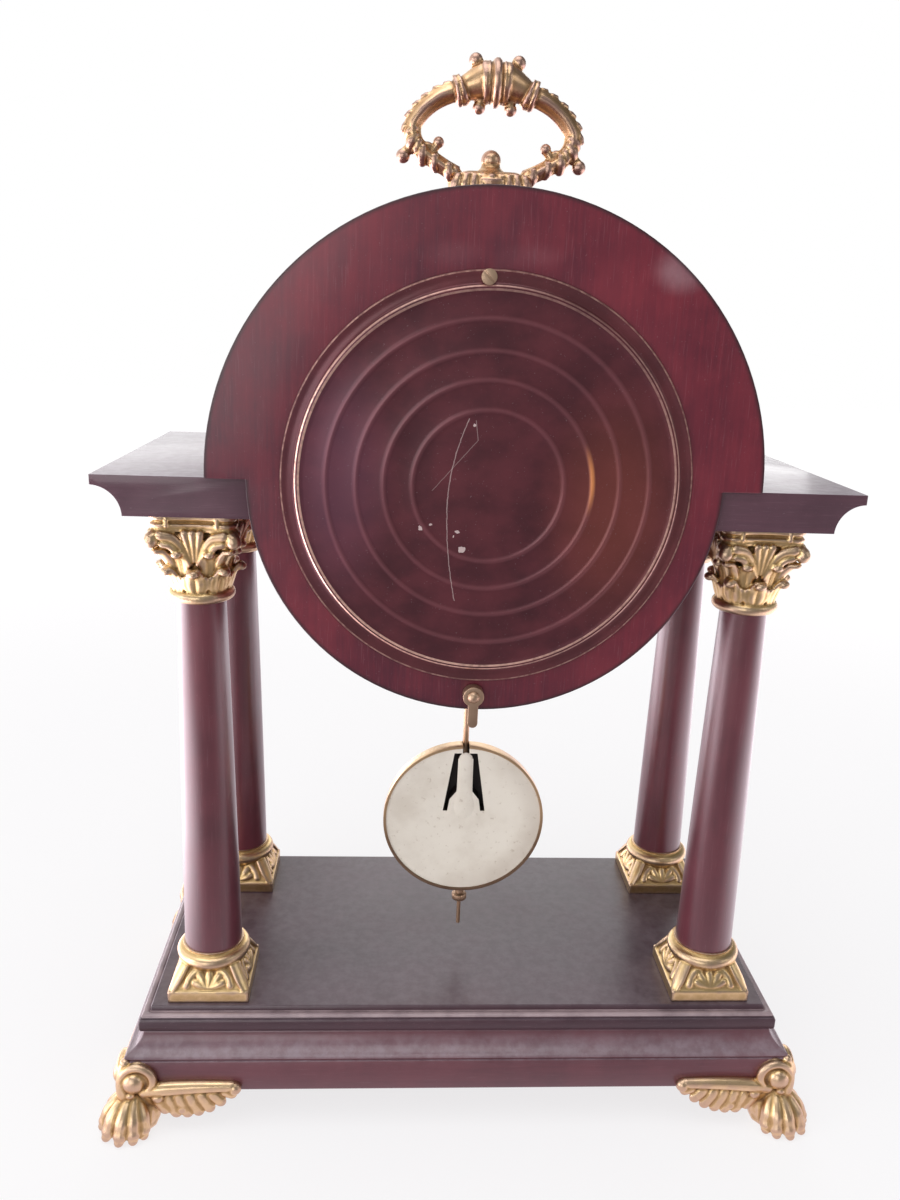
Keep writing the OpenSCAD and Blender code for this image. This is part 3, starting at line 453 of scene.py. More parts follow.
def ball(centre, radii, rows=9, columns=14):
    """An ellipsoid by latitude and longitude."""
    lat = np.linspace(-1.52, 1.52, rows)[:, None]
    lon = np.linspace(0, 2 * math.pi, columns, endpoint=False)[None]
    unit = [np.cos(lat) * np.cos(lon), np.cos(lat) * np.sin(lon), np.sin(lat) + 0 * lon]
    return np.asarray(centre, float) + np.stack(unit, -1) * np.asarray(radii, float)


def cast(grids, voxel, rounds=4):
    """Melts overlapping shells into one skin, as a casting is one piece of metal.

    voxel is the fineness in millimetres, and rounds the smoothing. Gives the skin's points, its
    faces and, for each point, how far the skin lies below its own smoothed form, from 0 on a
    ridge to 1 in a hollow.
    """
    points, faces = shells(*grids)
    mesh = bpy.data.meshes.new("melt")
    mesh.from_pydata(points.tolist(), [], faces)
    melt = bpy.data.objects.new("melt", mesh)
    bpy.context.collection.objects.link(melt)
    remesh = melt.modifiers.new("melt", "REMESH")
    remesh.mode, remesh.voxel_size = "VOXEL", voxel
    ease = melt.modifiers.new("ease", "SMOOTH")
    ease.factor, ease.iterations = 0.5, rounds
    melted = melt.evaluated_get(bpy.context.evaluated_depsgraph_get())
    skin = bpy.data.meshes.new_from_object(melted)
    bpy.data.objects.remove(melt)
    points, normals = np.empty((2, len(skin.vertices) * 3))
    skin.vertices.foreach_get("co", points)
    skin.vertices.foreach_get("normal", normals)
    points, normals = points.reshape(-1, 3), normals.reshape(-1, 3)
    edges = np.empty(len(skin.edges) * 2, int)
    skin.edges.foreach_get("vertices", edges)
    ends = edges.reshape(-1, 2)
    here, there = np.concatenate([ends, ends[:, ::-1]]).T
    count = np.bincount(here, minlength=len(points))

    def eased(values):
        """Each point's mean over its neighbours."""
        sums = [np.bincount(here, v[there], len(points)) for v in values.T]
        return np.stack(sums, -1) / count[:, None]

    calm, calm_rounds, even_rounds, deepest = points, 14, 2, 1.6 * voxel
    for _ in range(calm_rounds):
        calm = eased(calm)
    depth = ((calm - points) * normals).sum(1)[:, None]
    for _ in range(even_rounds):
        depth = eased(depth)
    faces = [tuple(face.vertices) for face in skin.polygons]
    return points, faces, np.clip(0.5 + depth[:, 0] / deepest, 0, 1)


def gilt(name, worn, ridge_highlight, middle, hollow, gloss):
    """Old gilding over a casting: worn to rosy brown on what stands out most, bright on ridges
    and brown in the hollows."""
    gold = Finish(name)
    depth = gold.node("Attribute", {"attribute_name": "hollow"}, out=2)
    wear = gold.noise(420, 4.0, 0.6)
    patch = gold.noise(110, 2.0)
    fine = gold.noise(2600, 2.0)
    level = depth + (wear - 0.5) * 0.35
    # The bright colour on the ridges is a painted highlight; the brown in the hollows is partly grime
    # and partly painted shade
    colour = gold.blend(level.clip(0.34, 0.56), ridge_highlight, middle)
    colour = gold.blend(level.clip(0.58, 1.0), colour, hollow)
    rubbed = (1.0 - (level + (patch - 0.5) * 0.5).clip(0.18, 0.44)) * 0.85
    colour = gold.blend(rubbed, colour, worn)
    rough = level.clip(0.35, 0.95) * 0.26 + gloss + rubbed * 0.10 + (fine - 0.5) * 0.12
    metal = 1.0 - level.clip(0.65, 1.1) * 0.4
    relief = gold.bump(wear + fine * 0.4, 0.05, 0.5)
    return gold.surface(Base_Color=colour, Roughness=rough, Metallic=metal, Normal=relief)


foot_gilt = gilt(
    "foot_gilding", worn=(0.60, 0.42, 0.30), ridge_highlight=(0.78, 0.56, 0.33),
    middle=(0.52, 0.34, 0.16), hollow=(0.17, 0.085, 0.035), gloss=0.30,
)
scroll_x, scroll_z, band_z = -5.0, foot_h + 5.7, foot_h + 1.9
wing_low_x = (-38, -35, -31, -27, -22, -17, -12, -9)
wing_low_z = (0.6, -2.4, -5.6, -8.0, -9.2, -9.1, -7.0, -4.9)


def foot_face():
    """The scroll and wing of one face, in x along the face, y out of it and z up."""
    face_out = (0, 1, 0)
    turn = np.radians(np.linspace(-75, 330, 44))
    ends = turn[0], turn[-1]
    coil, drift = np.interp(turn, ends, (5.6, 3.6)), np.interp(turn, ends, (0, 1.4))
    spiral_x = scroll_x + drift - coil * np.cos(turn)
    spiral_z = scroll_z - drift * 0.4 + coil * np.sin(turn)
    spiral = np.stack([spiral_x, 1.0 + 0 * turn, spiral_z], -1)
    made = [tube(spiral, np.interp(turn, ends, (1.7, 1.1)), up=face_out)]
    made.append(ball((scroll_x, -0.2, scroll_z), (6.2, 2.2, 6.2)))
    made.append(ball((-3.7, 1.2, foot_h + 4.7), (3.7, 3.0, 3.8), 13, 20))
    turn = np.radians(np.linspace(-50, 110, 20))
    groove_x, groove_z = -4.1 - 4.2 * np.cos(turn), foot_h + 5.2 + 4.2 * np.sin(turn)
    groove = np.stack([groove_x, 1.1 + 0 * turn, groove_z], -1)
    made.append(tube(groove, 0.75 * np.sin(np.linspace(0.3, 2.9, 20)), up=face_out))
    made.append(ball((-2.2, 1.0, foot_h - 0.6), (1.7, 1.5, 1.6)))
    band = [(-7, 0.4, -1.2, 2.3), (-14, 0.8, 0.2, 2.5), (-26, 0.9, 0.9, 2.2), (-36, 0.7, 0.8, 1.9)]
    made.append(bar([(x, y, band_z + z, r) for x, y, z, r in band], 24))
    made.append(ball((-37, 0.8, foot_h + 1.8), (2.3, 2.1, 2.3)))
    web = [(-8, -1.2, -2.2, 4.2), (-19, -1.2, -3.8, 5.2), (-28, -1.2, -2.2, 4.2)]
    web = [(x, y, foot_h + z, r) for x, y, z, r in [*web, (-36, -0.9, 0.8, 2.2)]]
    made.append(bar(web, 20, flat=0.52, up=face_out))
    for feather in range(7):
        top = -10.0 - 3.7 * feather
        tip = top - 3.6
        low = foot_h + float(np.interp(tip, wing_low_x, wing_low_z)) + 1.5
        lobe = [(top, -0.2, band_z - 1.0, 1.9), (top - 1.2, 0.5, (band_z + low) / 2, 2.4)]
        made.append(bar([*lobe, (tip, 0.9, low, 2.1)], 12, flat=0.62, up=face_out))
    made.append(ball((-11.5, 1.9, foot_h - 1.0), (2.0, 1.3, 1.7)))
    made.append(ball((-19.5, 1.2, foot_h - 6.2), (2.0, 1.2, 1.8)))
    return made


def swapped(grids):
    """The same shapes on the other face: x and y change places."""
    return [grid[..., [1, 0, 2]] for grid in grids]


leg_run = [(-6.5, foot_h, 5.0), (-5.4, 11.5, 6.0), (-4.2, 7.0, 7.4), (-3.8, 4.4, 7.6)]
ridge_run = [(-0.4, foot_h - 3.5, 2.4), (0.3, foot_h + 2, 2.2), (0.2, foot_h + 7, 1.9)]
ridge_run += [(-0.5, foot_h + 10.4, 1.5)]
leg = [bar([(q, q, z, r) for q, z, r in leg_run], 24, up=(1, -1, 0))]
leg.append(bar([(q, q, z, r) for q, z, r in ridge_run], 20, up=(1, -1, 0)))
leg.append(ball((-0.7, -0.7, foot_h + 11.2), (1.7, 1.7, 1.4)))
toe_root = -3.0
toe_run = [(1.2, foot_h - 1.0, 2.2), (4.2, 12.0, 2.1), (6.9, 9.6, 2.4), (8.7, 7.2, 2.7)]
toe_run += [(9.8, 5.0, 2.5), (10.7, 3.0, 2.5), (11.5, 1.8, 1.7)]
for spread, reach in ((0, 1.0), (27, 0.96), (51, 0.86), (73, 0.74)):
    for toe in (spread, -spread) if spread else (0,):
        out_x, out_y = math.cos(math.radians(45 + toe)), math.sin(math.radians(45 + toe))
        run = [(r * reach, z, w) for r, z, w in toe_run]
        run = [(toe_root + r * out_x, toe_root + r * out_y, z, w) for r, z, w in run]
        leg.append(bar(run, 26, up=(out_y, -out_x, 0)))
foot = cast([*foot_face(), *swapped(foot_face()), *leg], 0.30, 2)
foot[0][:, 2] = np.maximum(foot[0][:, 2], 0)

corners = [
    (side_x, side_y, f"{front_back}_{left_right}")
    for side_x, left_right in ((1, "left"), (-1, "right"))
    for side_y, front_back in ((1, "back"), (-1, "front"))
]


def set_casting(label, shape, finish, corner, half_x, half_y, height):
    """Turns a casting over to its corner of the clock; a single mirror turns its faces round."""
    side_x, side_y, corner_name = corner
    points, faces, depth = shape
    if side_x * side_y < 0:
        faces = [face[::-1] for face in faces]
    points = points * (side_x, side_y, 1) + (side_x * half_x, side_y * half_y, height)
    name = f"{label}_{corner_name}"
    piece("cast_" + name, (points, faces), finish, "case", [name], hollow=depth)


for corner in corners:
    set_casting("foot", foot, foot_gilt, corner, base_w / 2, base_d / 2, 0)


# Columns: turned and tapered shafts on gilt cast bases, under gilt Corinthian capitals.
# A long bolt runs up through each into the shelf.
def turned(profile, steps=96, axis=2, at=(0, 0, 0)):
    """Turns a profile of (radius, place along the axis) points about an axis through a point."""
    radius, along = np.array(profile, float).T[:, :, None]
    angle = np.linspace(0, 2 * math.pi, steps, endpoint=False)[None]
    ring = [radius * np.cos(angle), radius * np.sin(angle)]
    ring.insert(axis, along + 0 * angle)
    return np.stack(ring, -1) + np.asarray(at, float)


column_x, column_y, col_r_top, col_r_foot = 86.5, 33.5, 7.4, 9.7
base_top_z, shelf_t = seam + top_t, 12
cap_h, cap_half, colbase_h, plinth_half = 28.4, 13, 17, 13.6
shaft_low, shaft_high = base_top_z + colbase_h - 2, shelf_top - shelf_t - cap_h
rise = np.linspace(0, 1, 24)
taper = col_r_foot + (col_r_top - col_r_foot) * (0.75 * rise + 0.25 * rise * rise)
shaft = np.stack([taper, shaft_low + (shaft_high - shaft_low) * rise], -1)
column_wood = wood(
    "column_mahogany", (0.078, 0.012, 0.022), (0.175, 0.026, 0.042), (500, 500, 22), 0.36, 0.9,
    coat_gloss=0.28,
)
column_gilt = gilt(
    "capital_gilding", worn=(0.52, 0.37, 0.27), ridge_highlight=(0.78, 0.57, 0.31),
    middle=(0.60, 0.42, 0.20), hollow=(0.26, 0.15, 0.06), gloss=0.30,
)


def about(turn, across, sideways, height):
    """A point given by its distance out, its place sideways and its height, at an angle."""
    c, s = math.cos(turn), math.sin(turn)
    return (across * c - sideways * s, across * s + sideways * c, height)


def leaf_lobe(turn, points, side=1, flat=0.6):
    """A tongue of a leaf at an angle round the column, through (out, sideways, height, half
    width) points; side -1 mirrors it."""
    out = (math.cos(turn), math.sin(turn), 0)
    run = [(*about(turn, r, side * s, z), w) for r, s, z, w in points]
    return bar(run, 14, flat=flat, up=out)


low_leaf = [
    (8.5, 0.5, 3.0, 1.1), (9.1, 1.3, 6.2, 1.7), (10.0, 1.2, 8.8, 1.7), (11.6, 0.8, 10.8, 1.5),
]
low_edge = [(8.4, 1.7, 3.6, 1.0), (8.9, 2.8, 6.2, 1.3), (9.7, 3.0, 8.4, 1.0)]
high_leaf = [
    (8.8, 0.4, 7.0, 1.0), (9.4, 1.1, 11.6, 1.5), (10.4, 1.1, 14.6, 1.5), (12.0, 0.7, 16.6, 1.3),
]
corner_leaf = [
    (9.0, 0, 9.0, 1.8), (11.0, 0, 13.6, 2.4), (13.6, 0, 16.8, 2.4), (15.4, 0, 17.2, 1.7),
]
scroll_top = [
    (10.5, 0, 14.0, 1.8), (13.2, 0, 18.8, 2.2), (15.6, 0, 22.0, 2.3), (17.0, 0, 21.6, 2.2),
]
stalk = [
    (9.8, 1.4, 13.0, 1.1), (11.0, 3.4, 18.0, 1.3), (12.0, 6.0, 21.4, 1.5), (12.6, 9.2, 22.3, 1.6),
]
curl = [(11.4, 4.4, 16.2, 1.0), (12.3, 6.6, 19.0, 1.1), (12.6, 8.8, 19.6, 1.0)]
palm_rib = [(10.0, 0.8, 14.0, 0.9), (11.0, 1.5, 18.6, 1.1), (12.0, 2.3, 22.8, 1.3)]


def capital_grids():
    """Ring, bell, two rows of leaves with curled tips, corner scrolls and a palmette a face."""
    ring = [(0, -0.1), (8.4, 0.0), *arc(8.45, 1.9, 1.9, -80, 80, 11)]
    ring += [(8.3, 3.8), (7.7, 4.4), (0, 4.4)]
    bell = [(0, 3.0), (8.4, 3.0), (8.5, 9), (8.9, 14), (10.0, 19), (11.3, 23.6), (0, 23.6)]
    made = [turned(ring, 48), turned(bell, 32)]
    for k in range(8):
        turn = k * math.pi / 4
        for side in (-1, 1):
            made += [leaf_lobe(turn, low_leaf, side), leaf_lobe(turn, low_edge, side)]
        made.append(ball(about(turn, 12.2, 0, 10.5), (1.9, 1.9, 1.4)))
        turn += math.pi / 8
        made += [leaf_lobe(turn, high_leaf, side) for side in (-1, 1)]
        made.append(ball(about(turn, 12.6, 0, 16.4), (1.8, 1.8, 1.3)))
    for k in range(4):
        turn = (k + 0.5) * math.pi / 2
        made += [leaf_lobe(turn, corner_leaf), leaf_lobe(turn, scroll_top, flat=0.8)]
        made.append(ball(about(turn, 17.1, 0, 20.5), (2.3, 2.3, 2.2)))
        face = k * math.pi / 2
        for side in (-1, 1):
            made += [leaf_lobe(face, stalk, side, 0.8), leaf_lobe(face, curl, side, 0.8)]
            end = [(*about(face, cap_half - 0.75, side * 7.4, z), 0.75) for z in (25.2, 26.3, 27.3)]
            made.append(bar(end, 6, up=(math.cos(face), math.sin(face), 0)))
        made += [leaf_lobe(face, palm_rib, side, 0.8) for side in (-1, 0, 1)]
    return made


def slab_grid():
    """The capital's top slab: four slightly hollow sides between cut corners, with a groove."""
    hollow_half, hollow_deep, corner_past = 8.7, 0.9, 3.8
    angle = np.linspace(0, 2 * math.pi, 96, endpoint=False)
    fold = (angle + math.pi / 4) % (math.pi / 2) - math.pi / 4
    hollow = np.clip(1 - (np.tan(fold) * cap_half / hollow_half) ** 2, 0, 1)
    side_reach = (cap_half - hollow_deep * hollow) / np.cos(fold)
    reach = np.minimum(side_reach, cap_half + corner_past)
    section = [(-2.6, 22.6), (-1.4, 22.8), (-0.7, 23.3), (-0.4, 24.0), (-0.5, 24.5), (-0.3, 24.8)]
    section += [(-0.1, 25.3), (-0.4, 25.8), (-0.9, 26.0), (-0.9, 26.5), (-0.3, 26.8), (0, 27.3)]
    section += [(0, 28.2), (-0.2, 28.4)]
    inset, height = np.array(section, float).T[:, :, None]
    radius = reach + inset
    return np.stack([radius * np.cos(angle), radius * np.sin(angle), 0 * angle + height], -1)


slope_half, slope_half_up, slope_z, slope_tall = 12.9, 8.7, 4.5, 8
slope_in = (slope_half - slope_half_up) / slope_tall


def on_slope(face, sideways, height, width):
    """A point on a sloping face of a column base, at a height above the face's lower edge."""
    return (*about(face, slope_half - slope_in * height, sideways, slope_z + height), width)


def column_base_grids():
    """A fan of soft lobes under an arch on each sloping face, broad corners and a round collar."""
    collar = [(0, 9.5), (9.6, 9.8), (11.0, 10.8), *arc(10.2, 13.4, 2.2, -60, 85, 11)]
    collar += [(10.0, 16.2), (10.4, 16.9), (0, 16.9)]
    made = [turned(collar, 48)]
    for k in range(4):
        face = k * math.pi / 2
        out = (math.cos(face), math.sin(face), 0.5)
        sweep = np.linspace(0.15, math.pi - 0.15, 9)
        arch = [on_slope(face, 7.4 * math.cos(t), 0.4 + 6.4 * math.sin(t), 1.2) for t in sweep]
        made.append(bar(arch, 30, flat=0.6, up=out))
        for lean, long in ((20, 0.9), (52, 1.05), (88, 0.85), (126, 1.0), (160, 0.9)):
            across, up = math.cos(math.radians(lean)) * long, math.sin(math.radians(lean)) * long
            lobe = [(1.3 * across, 0.9, 0.9), (3.6 * across, 0.9 + 2.4 * up, 1.35)]
            lobe += [(5.4 * across, 0.9 + 4.4 * up, 1.3)]
            made.append(bar([on_slope(face, *point) for point in lobe], 12, flat=0.62, up=out))
        turn = face + math.pi / 4
        spur = [(17.2, 4.7, 1.6), (15.0, 7.6, 2.2), (12.0, 11.6, 2.2)]
        spur = [(*about(turn, r, 0, z), w) for r, z, w in spur]
        made.append(bar(spur, 14, flat=0.45, up=(math.cos(turn), math.sin(turn), 0.5)))
    return made


capital = cast([*capital_grids(), slab_grid()], 0.275, 2)
capital[0][:, 2] = np.minimum(capital[0][:, 2], cap_h)
block = [(0.3, 0), (0, 0.25), (0, 3.9), (0.2, 4.3), (0.7, 4.6)]
pyramid = [(0.9, 4.0), (0.7, 4.6), (4.9, 12.5), (5.2, 12.7)]
blocks = [moulding(section, plinth_half, plinth_half, 0.5, 4) for section in (block, pyramid)]
column_base = cast([*column_base_grids(), *blocks], 0.27, 3)
column_base[0][:, 2] = np.maximum(column_base[0][:, 2], 0)
for corner in corners:
    side_x, side_y, corner_name = corner
    shape = shells(turned(shaft, 64, at=(side_x * column_x, side_y * column_y, 0)))
    solid = "column_" + corner_name
    piece("shaft_" + corner_name, shape, column_wood, "case", [solid])
    set_casting("capital", capital, column_gilt, corner, column_x, column_y, shaft_high)
    set_casting("column_base", column_base, column_gilt, corner, column_x, column_y, base_top_z)


# Shelves, drum and boards: sawn and bent wood under one satin lacquer. The shelves are cut to
# the drum, their outer edges are coved, and every arris is eased.
def eased(node, name, finish, body, slot, radius=0.5, segments=2, sharp=32):
    """A CAD solid's own shape, with the edges that bend by more than sharp degrees rounded to a
    radius in millimetres."""
    same_place, flat = 2e-6, math.radians(0.6)
    work = bmesh.new()
    work.from_mesh(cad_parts[node].data)
    bmesh.ops.remove_doubles(work, verts=work.verts, dist=same_place)
    bmesh.ops.dissolve_limit(work, angle_limit=flat, verts=work.verts, edges=work.edges)
    folds = [e for e in work.edges if len(e.link_faces) == 2]
    folds = [e for e in folds if e.calc_face_angle(0) > math.radians(sharp)]
    bmesh.ops.bevel(
        work, geom=folds, offset=radius / 1000, segments=segments, profile=0.6, affect="EDGES",
        clamp_overlap=True,
    )
    bmesh.ops.triangulate(work, faces=work.faces)
    mesh = bpy.data.meshes.new(name)
    work.to_mesh(mesh)
    work.free()
    set_down(name, mesh, finish, 36, body, [node])


shelf_wood = wood(
    "dusty_cornice_wood", (0.075, 0.033, 0.048), (0.140, 0.058, 0.082), (35, 900, 900), 0.30, 0.35,
    dust_and_sheen=0.85,
)
deep_red, ruddy_red = (0.060, 0.008, 0.021), (0.225, 0.017, 0.033)
board_blooms = [(12, 286, 12, 5, 0.09), (-9, 286, 12, 4.5, 0.09), (-51, 284, 10, 8, 0.8)]
# The boards' flat faces get a painted dark band near the edge, a painted reflection
board_wood = wood(
    "mahogany_upright", deep_red, ruddy_red, (800, 900, 30), 0.34, 0.16,
    dust_and_sheen=0.3, blooms=board_blooms, edge_shade_from=drum_r_low - 1.6,
)
drum_wood = wood("mahogany_bent", deep_red, ruddy_red, (500, 30, 500), 0.34, 0.16, dust_and_sheen=0.3)
for shelf in ("shelf_left", "shelf_right"):
    eased(shelf, "wooden_" + shelf, shelf_wood, "case", "case_wood", 0.35)
eased("drum_shell", "bent_drum", drum_wood, "case", "case_wood", 0.3)
for board in ("back_board", "front_board"):
    eased(board, "wooden_" + board, board_wood, "case", "case_wood", 1.1, 3)


# Movement: brass plates and wheels on steel arbors, with a spring in the barrel.
# These solids keep their shape; they get the metals.
def metal(name, colour, gloss):
    """Plain machined metal with faint tool marks and a little tarnish."""
    plain = Finish(name)
    marks = plain.noise(900, 3.0, 0.6)
    cloud = plain.noise(90)
    dull = tuple(0.72 * c for c in colour)
    tone = plain.blend(cloud.clip(0.35, 0.75), colour, dull)
    rough = gloss + (marks - 0.5) * 0.2 + cloud * 0.1
    relief = plain.bump(marks, 0.02, 0.4)
    return plain.surface(Base_Color=tone, Roughness=rough, Metallic=1.0, Normal=relief)


def refinish(nodes, finish):
    """Gives a finish to CAD solids that keep their shape."""
    for node in nodes.split():
        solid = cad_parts[node].data
        solid.materials.clear()
        solid.materials.append(finish)


brass = metal("aged_brass", (0.66, 0.47, 0.20), 0.28)
steel = metal("plain_steel", (0.52, 0.53, 0.55), 0.28)
spring_steel = metal("blued_spring_steel", (0.20, 0.24, 0.34), 0.3)
refinish("back_plate front_plate barrel barrel_cap intermediate_wheel centre_wheel", brass)
refinish("third_wheel escape_wheel motion_wheel hour_wheel suspension_cock", brass)
refinish("hand_nut bezel_leaf", brass)
refinish("foot_screws tie_bolts handle_nuts hinge_pin movement_screws", steel)
refinish("barrel_arbor click anchor", steel)
refinish("mainspring click_spring suspension_spring", spring_steel)


# Dial side: an enamelled dial with plain Roman numerals, blued hands, and a hinged brass bezel
# that holds the glass.
enamel = Finish("cream_enamel")
age = enamel.noise(45, 4.0)
enamel_skin = enamel.surface(
    Base_Color=enamel.blend(age.clip(0.4, 0.8), (0.80, 0.76, 0.64), (0.66, 0.58, 0.43)),
    Roughness=age * 0.15 + 0.22,
    Coat_Weight=0.5,
)
clear_glass = Finish("clear_glass").surface(
    Base_Color=(1.0, 1.0, 1.0), Roughness=0.02, Transmission_Weight=1.0, IOR=1.45
)
refinish("dial", enamel_skin)
refinish("hour_hand minute_hand", metal("blued_hand_steel", (0.02, 0.025, 0.05), 0.25))
refinish("glass", clear_glass)
eased("bezel", "brass_bezel", brass, "bezel_door", "brass", 0.2, 2, 40)

dial_face, ink_high, numeral_r, numeral_tall = -52.0, 0.05, 45.5, 9.0
thick_stroke, thin_stroke, serif, serif_wide = 1.5, 0.5, 0.42, 1.9
letter_wide = {"I": 2.3, "V": 5.0, "X": 5.2}


def stroke(start, end, wide):
    """A straight stroke as four corners, cut level at both ends."""
    (foot_x, foot_z), (head_x, head_z), half = start, end, wide / 2
    low = [(foot_x - half, foot_z), (foot_x + half, foot_z)]
    return low + [(head_x + half, head_z), (head_x - half, head_z)]


def numeral_strokes(text):
    """The strokes of a Roman numeral, centred, with its foot at height 0."""
    left, tall, made = -sum(letter_wide[c] for c in text) / 2, numeral_tall, []
    for letter in text:
        wide = letter_wide[letter]
        middle, far = left + wide / 2, left + wide
        if letter == "I":
            made += [stroke((middle, 0), (middle, tall), thick_stroke)]
            serifs = [(middle, h, wide - 0.2) for h in (0, tall - serif)]
        elif letter == "V":
            made += [stroke((middle, 0), (left + 1.0, tall), thick_stroke)]
            made += [stroke((middle, 0), (far - 0.8, tall), thin_stroke)]
            serifs = [(x, tall - serif, serif_wide) for x in (left + 1.0, far - 0.9)]
        else:
            made += [stroke((far - 1.0, 0), (left + 1.0, tall), thick_stroke)]
            made += [stroke((left + 0.9, 0), (far - 0.9, tall), thin_stroke)]
            spots = [(x, h) for x in (left + 1.0, far - 1.0) for h in (0, tall - serif)]
            serifs = [(x, h, serif_wide) for x, h in spots]
        made += [stroke((x, h), (x, h + serif), width) for x, h, width in serifs]
        left = far
    return np.array(made, float)


def inked(quads, turn, foot_r):
    """Lifts flat quads off the dial as thin blocks, turned clockwise about its centre."""
    x, z = quads[..., 0], quads[..., 1] + foot_r
    across = x * math.cos(turn) + z * math.sin(turn)
    height = z * math.cos(turn) - x * math.sin(turn) + shelf_top
    layers = [np.stack([across, 0 * x + y, height], -1) for y in (dial_face, dial_face - ink_high)]
    return list(np.stack(layers, 1))


print_grids, numeral_foot_r = [], numeral_r - numeral_tall / 2
for hour, text in enumerate("XII I II III IV V VI VII VIII IX X XI".split()):
    print_grids += inked(numeral_strokes(text), math.radians(30 * hour), numeral_foot_r)
tick_r, tick_long, hour_tick, minute_tick, track_rings = 53.0, 2.0, 1.1, 0.35, (52.9, 55.2)
for minute in range(60):
    tick = np.array([stroke((0, 0), (0, tick_long), minute_tick if minute % 5 else hour_tick)])
    print_grids += inked(tick, math.radians(6 * minute), tick_r)
for ring_r in track_rings:
    turn = np.linspace(0, 2 * math.pi, 121)
    circle = [ring_r * np.cos(turn), 0 * turn + dial_face, ring_r * np.sin(turn) + shelf_top]
    print_grids.append(tube(np.stack(circle, -1), 0.13, 8, up=(0, 1, 0)))
ink = Finish("black_ink")
ink_tone = ink.blend(ink.noise(300), (0.012, 0.012, 0.014), (0.03, 0.028, 0.028))
ink_skin = ink.surface(Base_Color=ink_tone, Roughness=0.4)
piece("dial_print", shells(*print_grids), ink_skin, "case", sharp=20)


# Dust cover: thin copper pressed with four ring beads and a rolled edge, under dark red lacquer
# that has worn off the edge. It hangs on one screw, and a turn-button holds it from below.
drum_back, bead_radii = 51, (22.0, 30.3, 38.3, 47.0)
bead = [(-1.3, 1.9), (-0.8, 1.95), (-0.4, 2.10), (0, 2.18), (0.4, 2.10), (0.8, 1.95), (1.3, 1.9)]
cover_profile = [(0, 1.95), (19.5, 1.9)]
cover_profile += [(bead_at + off, high) for bead_at in bead_radii for off, high in bead]
cover_profile += [(53.0, 1.9), (54.0, 2.0), (54.6, 2.25), (55.2, 2.3), (55.7, 2.1), (56.0, 1.6)]
cover_profile += [(56.1, 1.0), (56.5, 0.75), (58.6, 0.7), (59.3, 0.95), (59.8, 0.9), (60.0, 0.55)]
cover_profile += [(59.9, 0.15), (59.4, 0.0), (54.9, 0.0), (54.5, 0.8), (54.0, 1.3), (0, 1.35)]
cover_profile = [(radius, drum_back + along) for radius, along in cover_profile]
lacquer = Finish("worn_lacquer_on_copper")
x, _, z = lacquer.along()
dz = z - shelf_top
reach = (x * x + dz * dz) ** 0.5
swirl = lacquer.noise((11, 11, 26), 3.0)
blotch = lacquer.noise((55, 55, 70), 4.0, 0.6)
rubbed = lacquer.noise(700, 3.0)
film = lacquer.blend(blotch.clip(0.3, 0.75), (0.068, 0.014, 0.021), (0.130, 0.025, 0.035))
# A painted reflection: a warm glow of reflected light over the cover's right half
reflected_glow = oval(x, dz, (-37.0, -6.0), (24.0, 40.0), 0.15, 1.1)
film = lacquer.blend(reflected_glow * 0.6, film, (0.22, 0.050, 0.034))
# A painted reflection: a pale violet veil of the bright room over the cover's left half
reflected_veil = oval(x, dz, (44.0, 2.0), (18.0, 42.0), 0.15, 1.1)
film = lacquer.blend(reflected_veil * 0.4, film, (0.17, 0.060, 0.105))
# A painted highlight along every bead, and a brighter painted glint on the beads right of centre
bead_glint = oval(x, dz, (-30.0, 3.0), (6.0, 11.0), 0.1, 1.1)
for bead_at in bead_radii:
    on_bead = 1.0 - abs(reach - bead_at).clip(0.1, 1.1)
    film = lacquer.blend(on_bead * 0.22, film, (0.36, 0.13, 0.15))
    film = lacquer.blend(on_bead * bead_glint * 0.9, film, (0.75, 0.28, 0.10))
flange_r = 55.9
film = lacquer.blend((reach > flange_r) * 0.12, film, (0.24, 0.065, 0.060))

# Two lines on the raised edge are copper where the lacquer is worn through and are also a painted
# highlight, brightest at the lower left where the light falls; the line on the rim is a painted
# highlight
upper, leftmost = (dz / (reach + 1.0)).clip(0.1, 0.9), (x / (reach + 1.0)).clip(-0.7, 0.5)
worn = (rubbed.clip(0.25, 0.6) * 0.5 + 0.5) * (1.0 - upper * 0.6) * (leftmost * 0.6 + 0.4)
inner_edge_glint, outer_edge_glint = (abs(reach - 54.6) < 0.30) * worn, (abs(reach - 55.6) < 0.26) * worn
rim_highlight = (abs(reach - 59.7) < 0.25) * (rubbed.clip(0.3, 0.7) * 0.3 + 0.1)
copper_and_highlight = inner_edge_glint.larger(outer_edge_glint).larger(rim_highlight)
film = lacquer.blend(copper_and_highlight, film, (0.98, 0.61, 0.50))

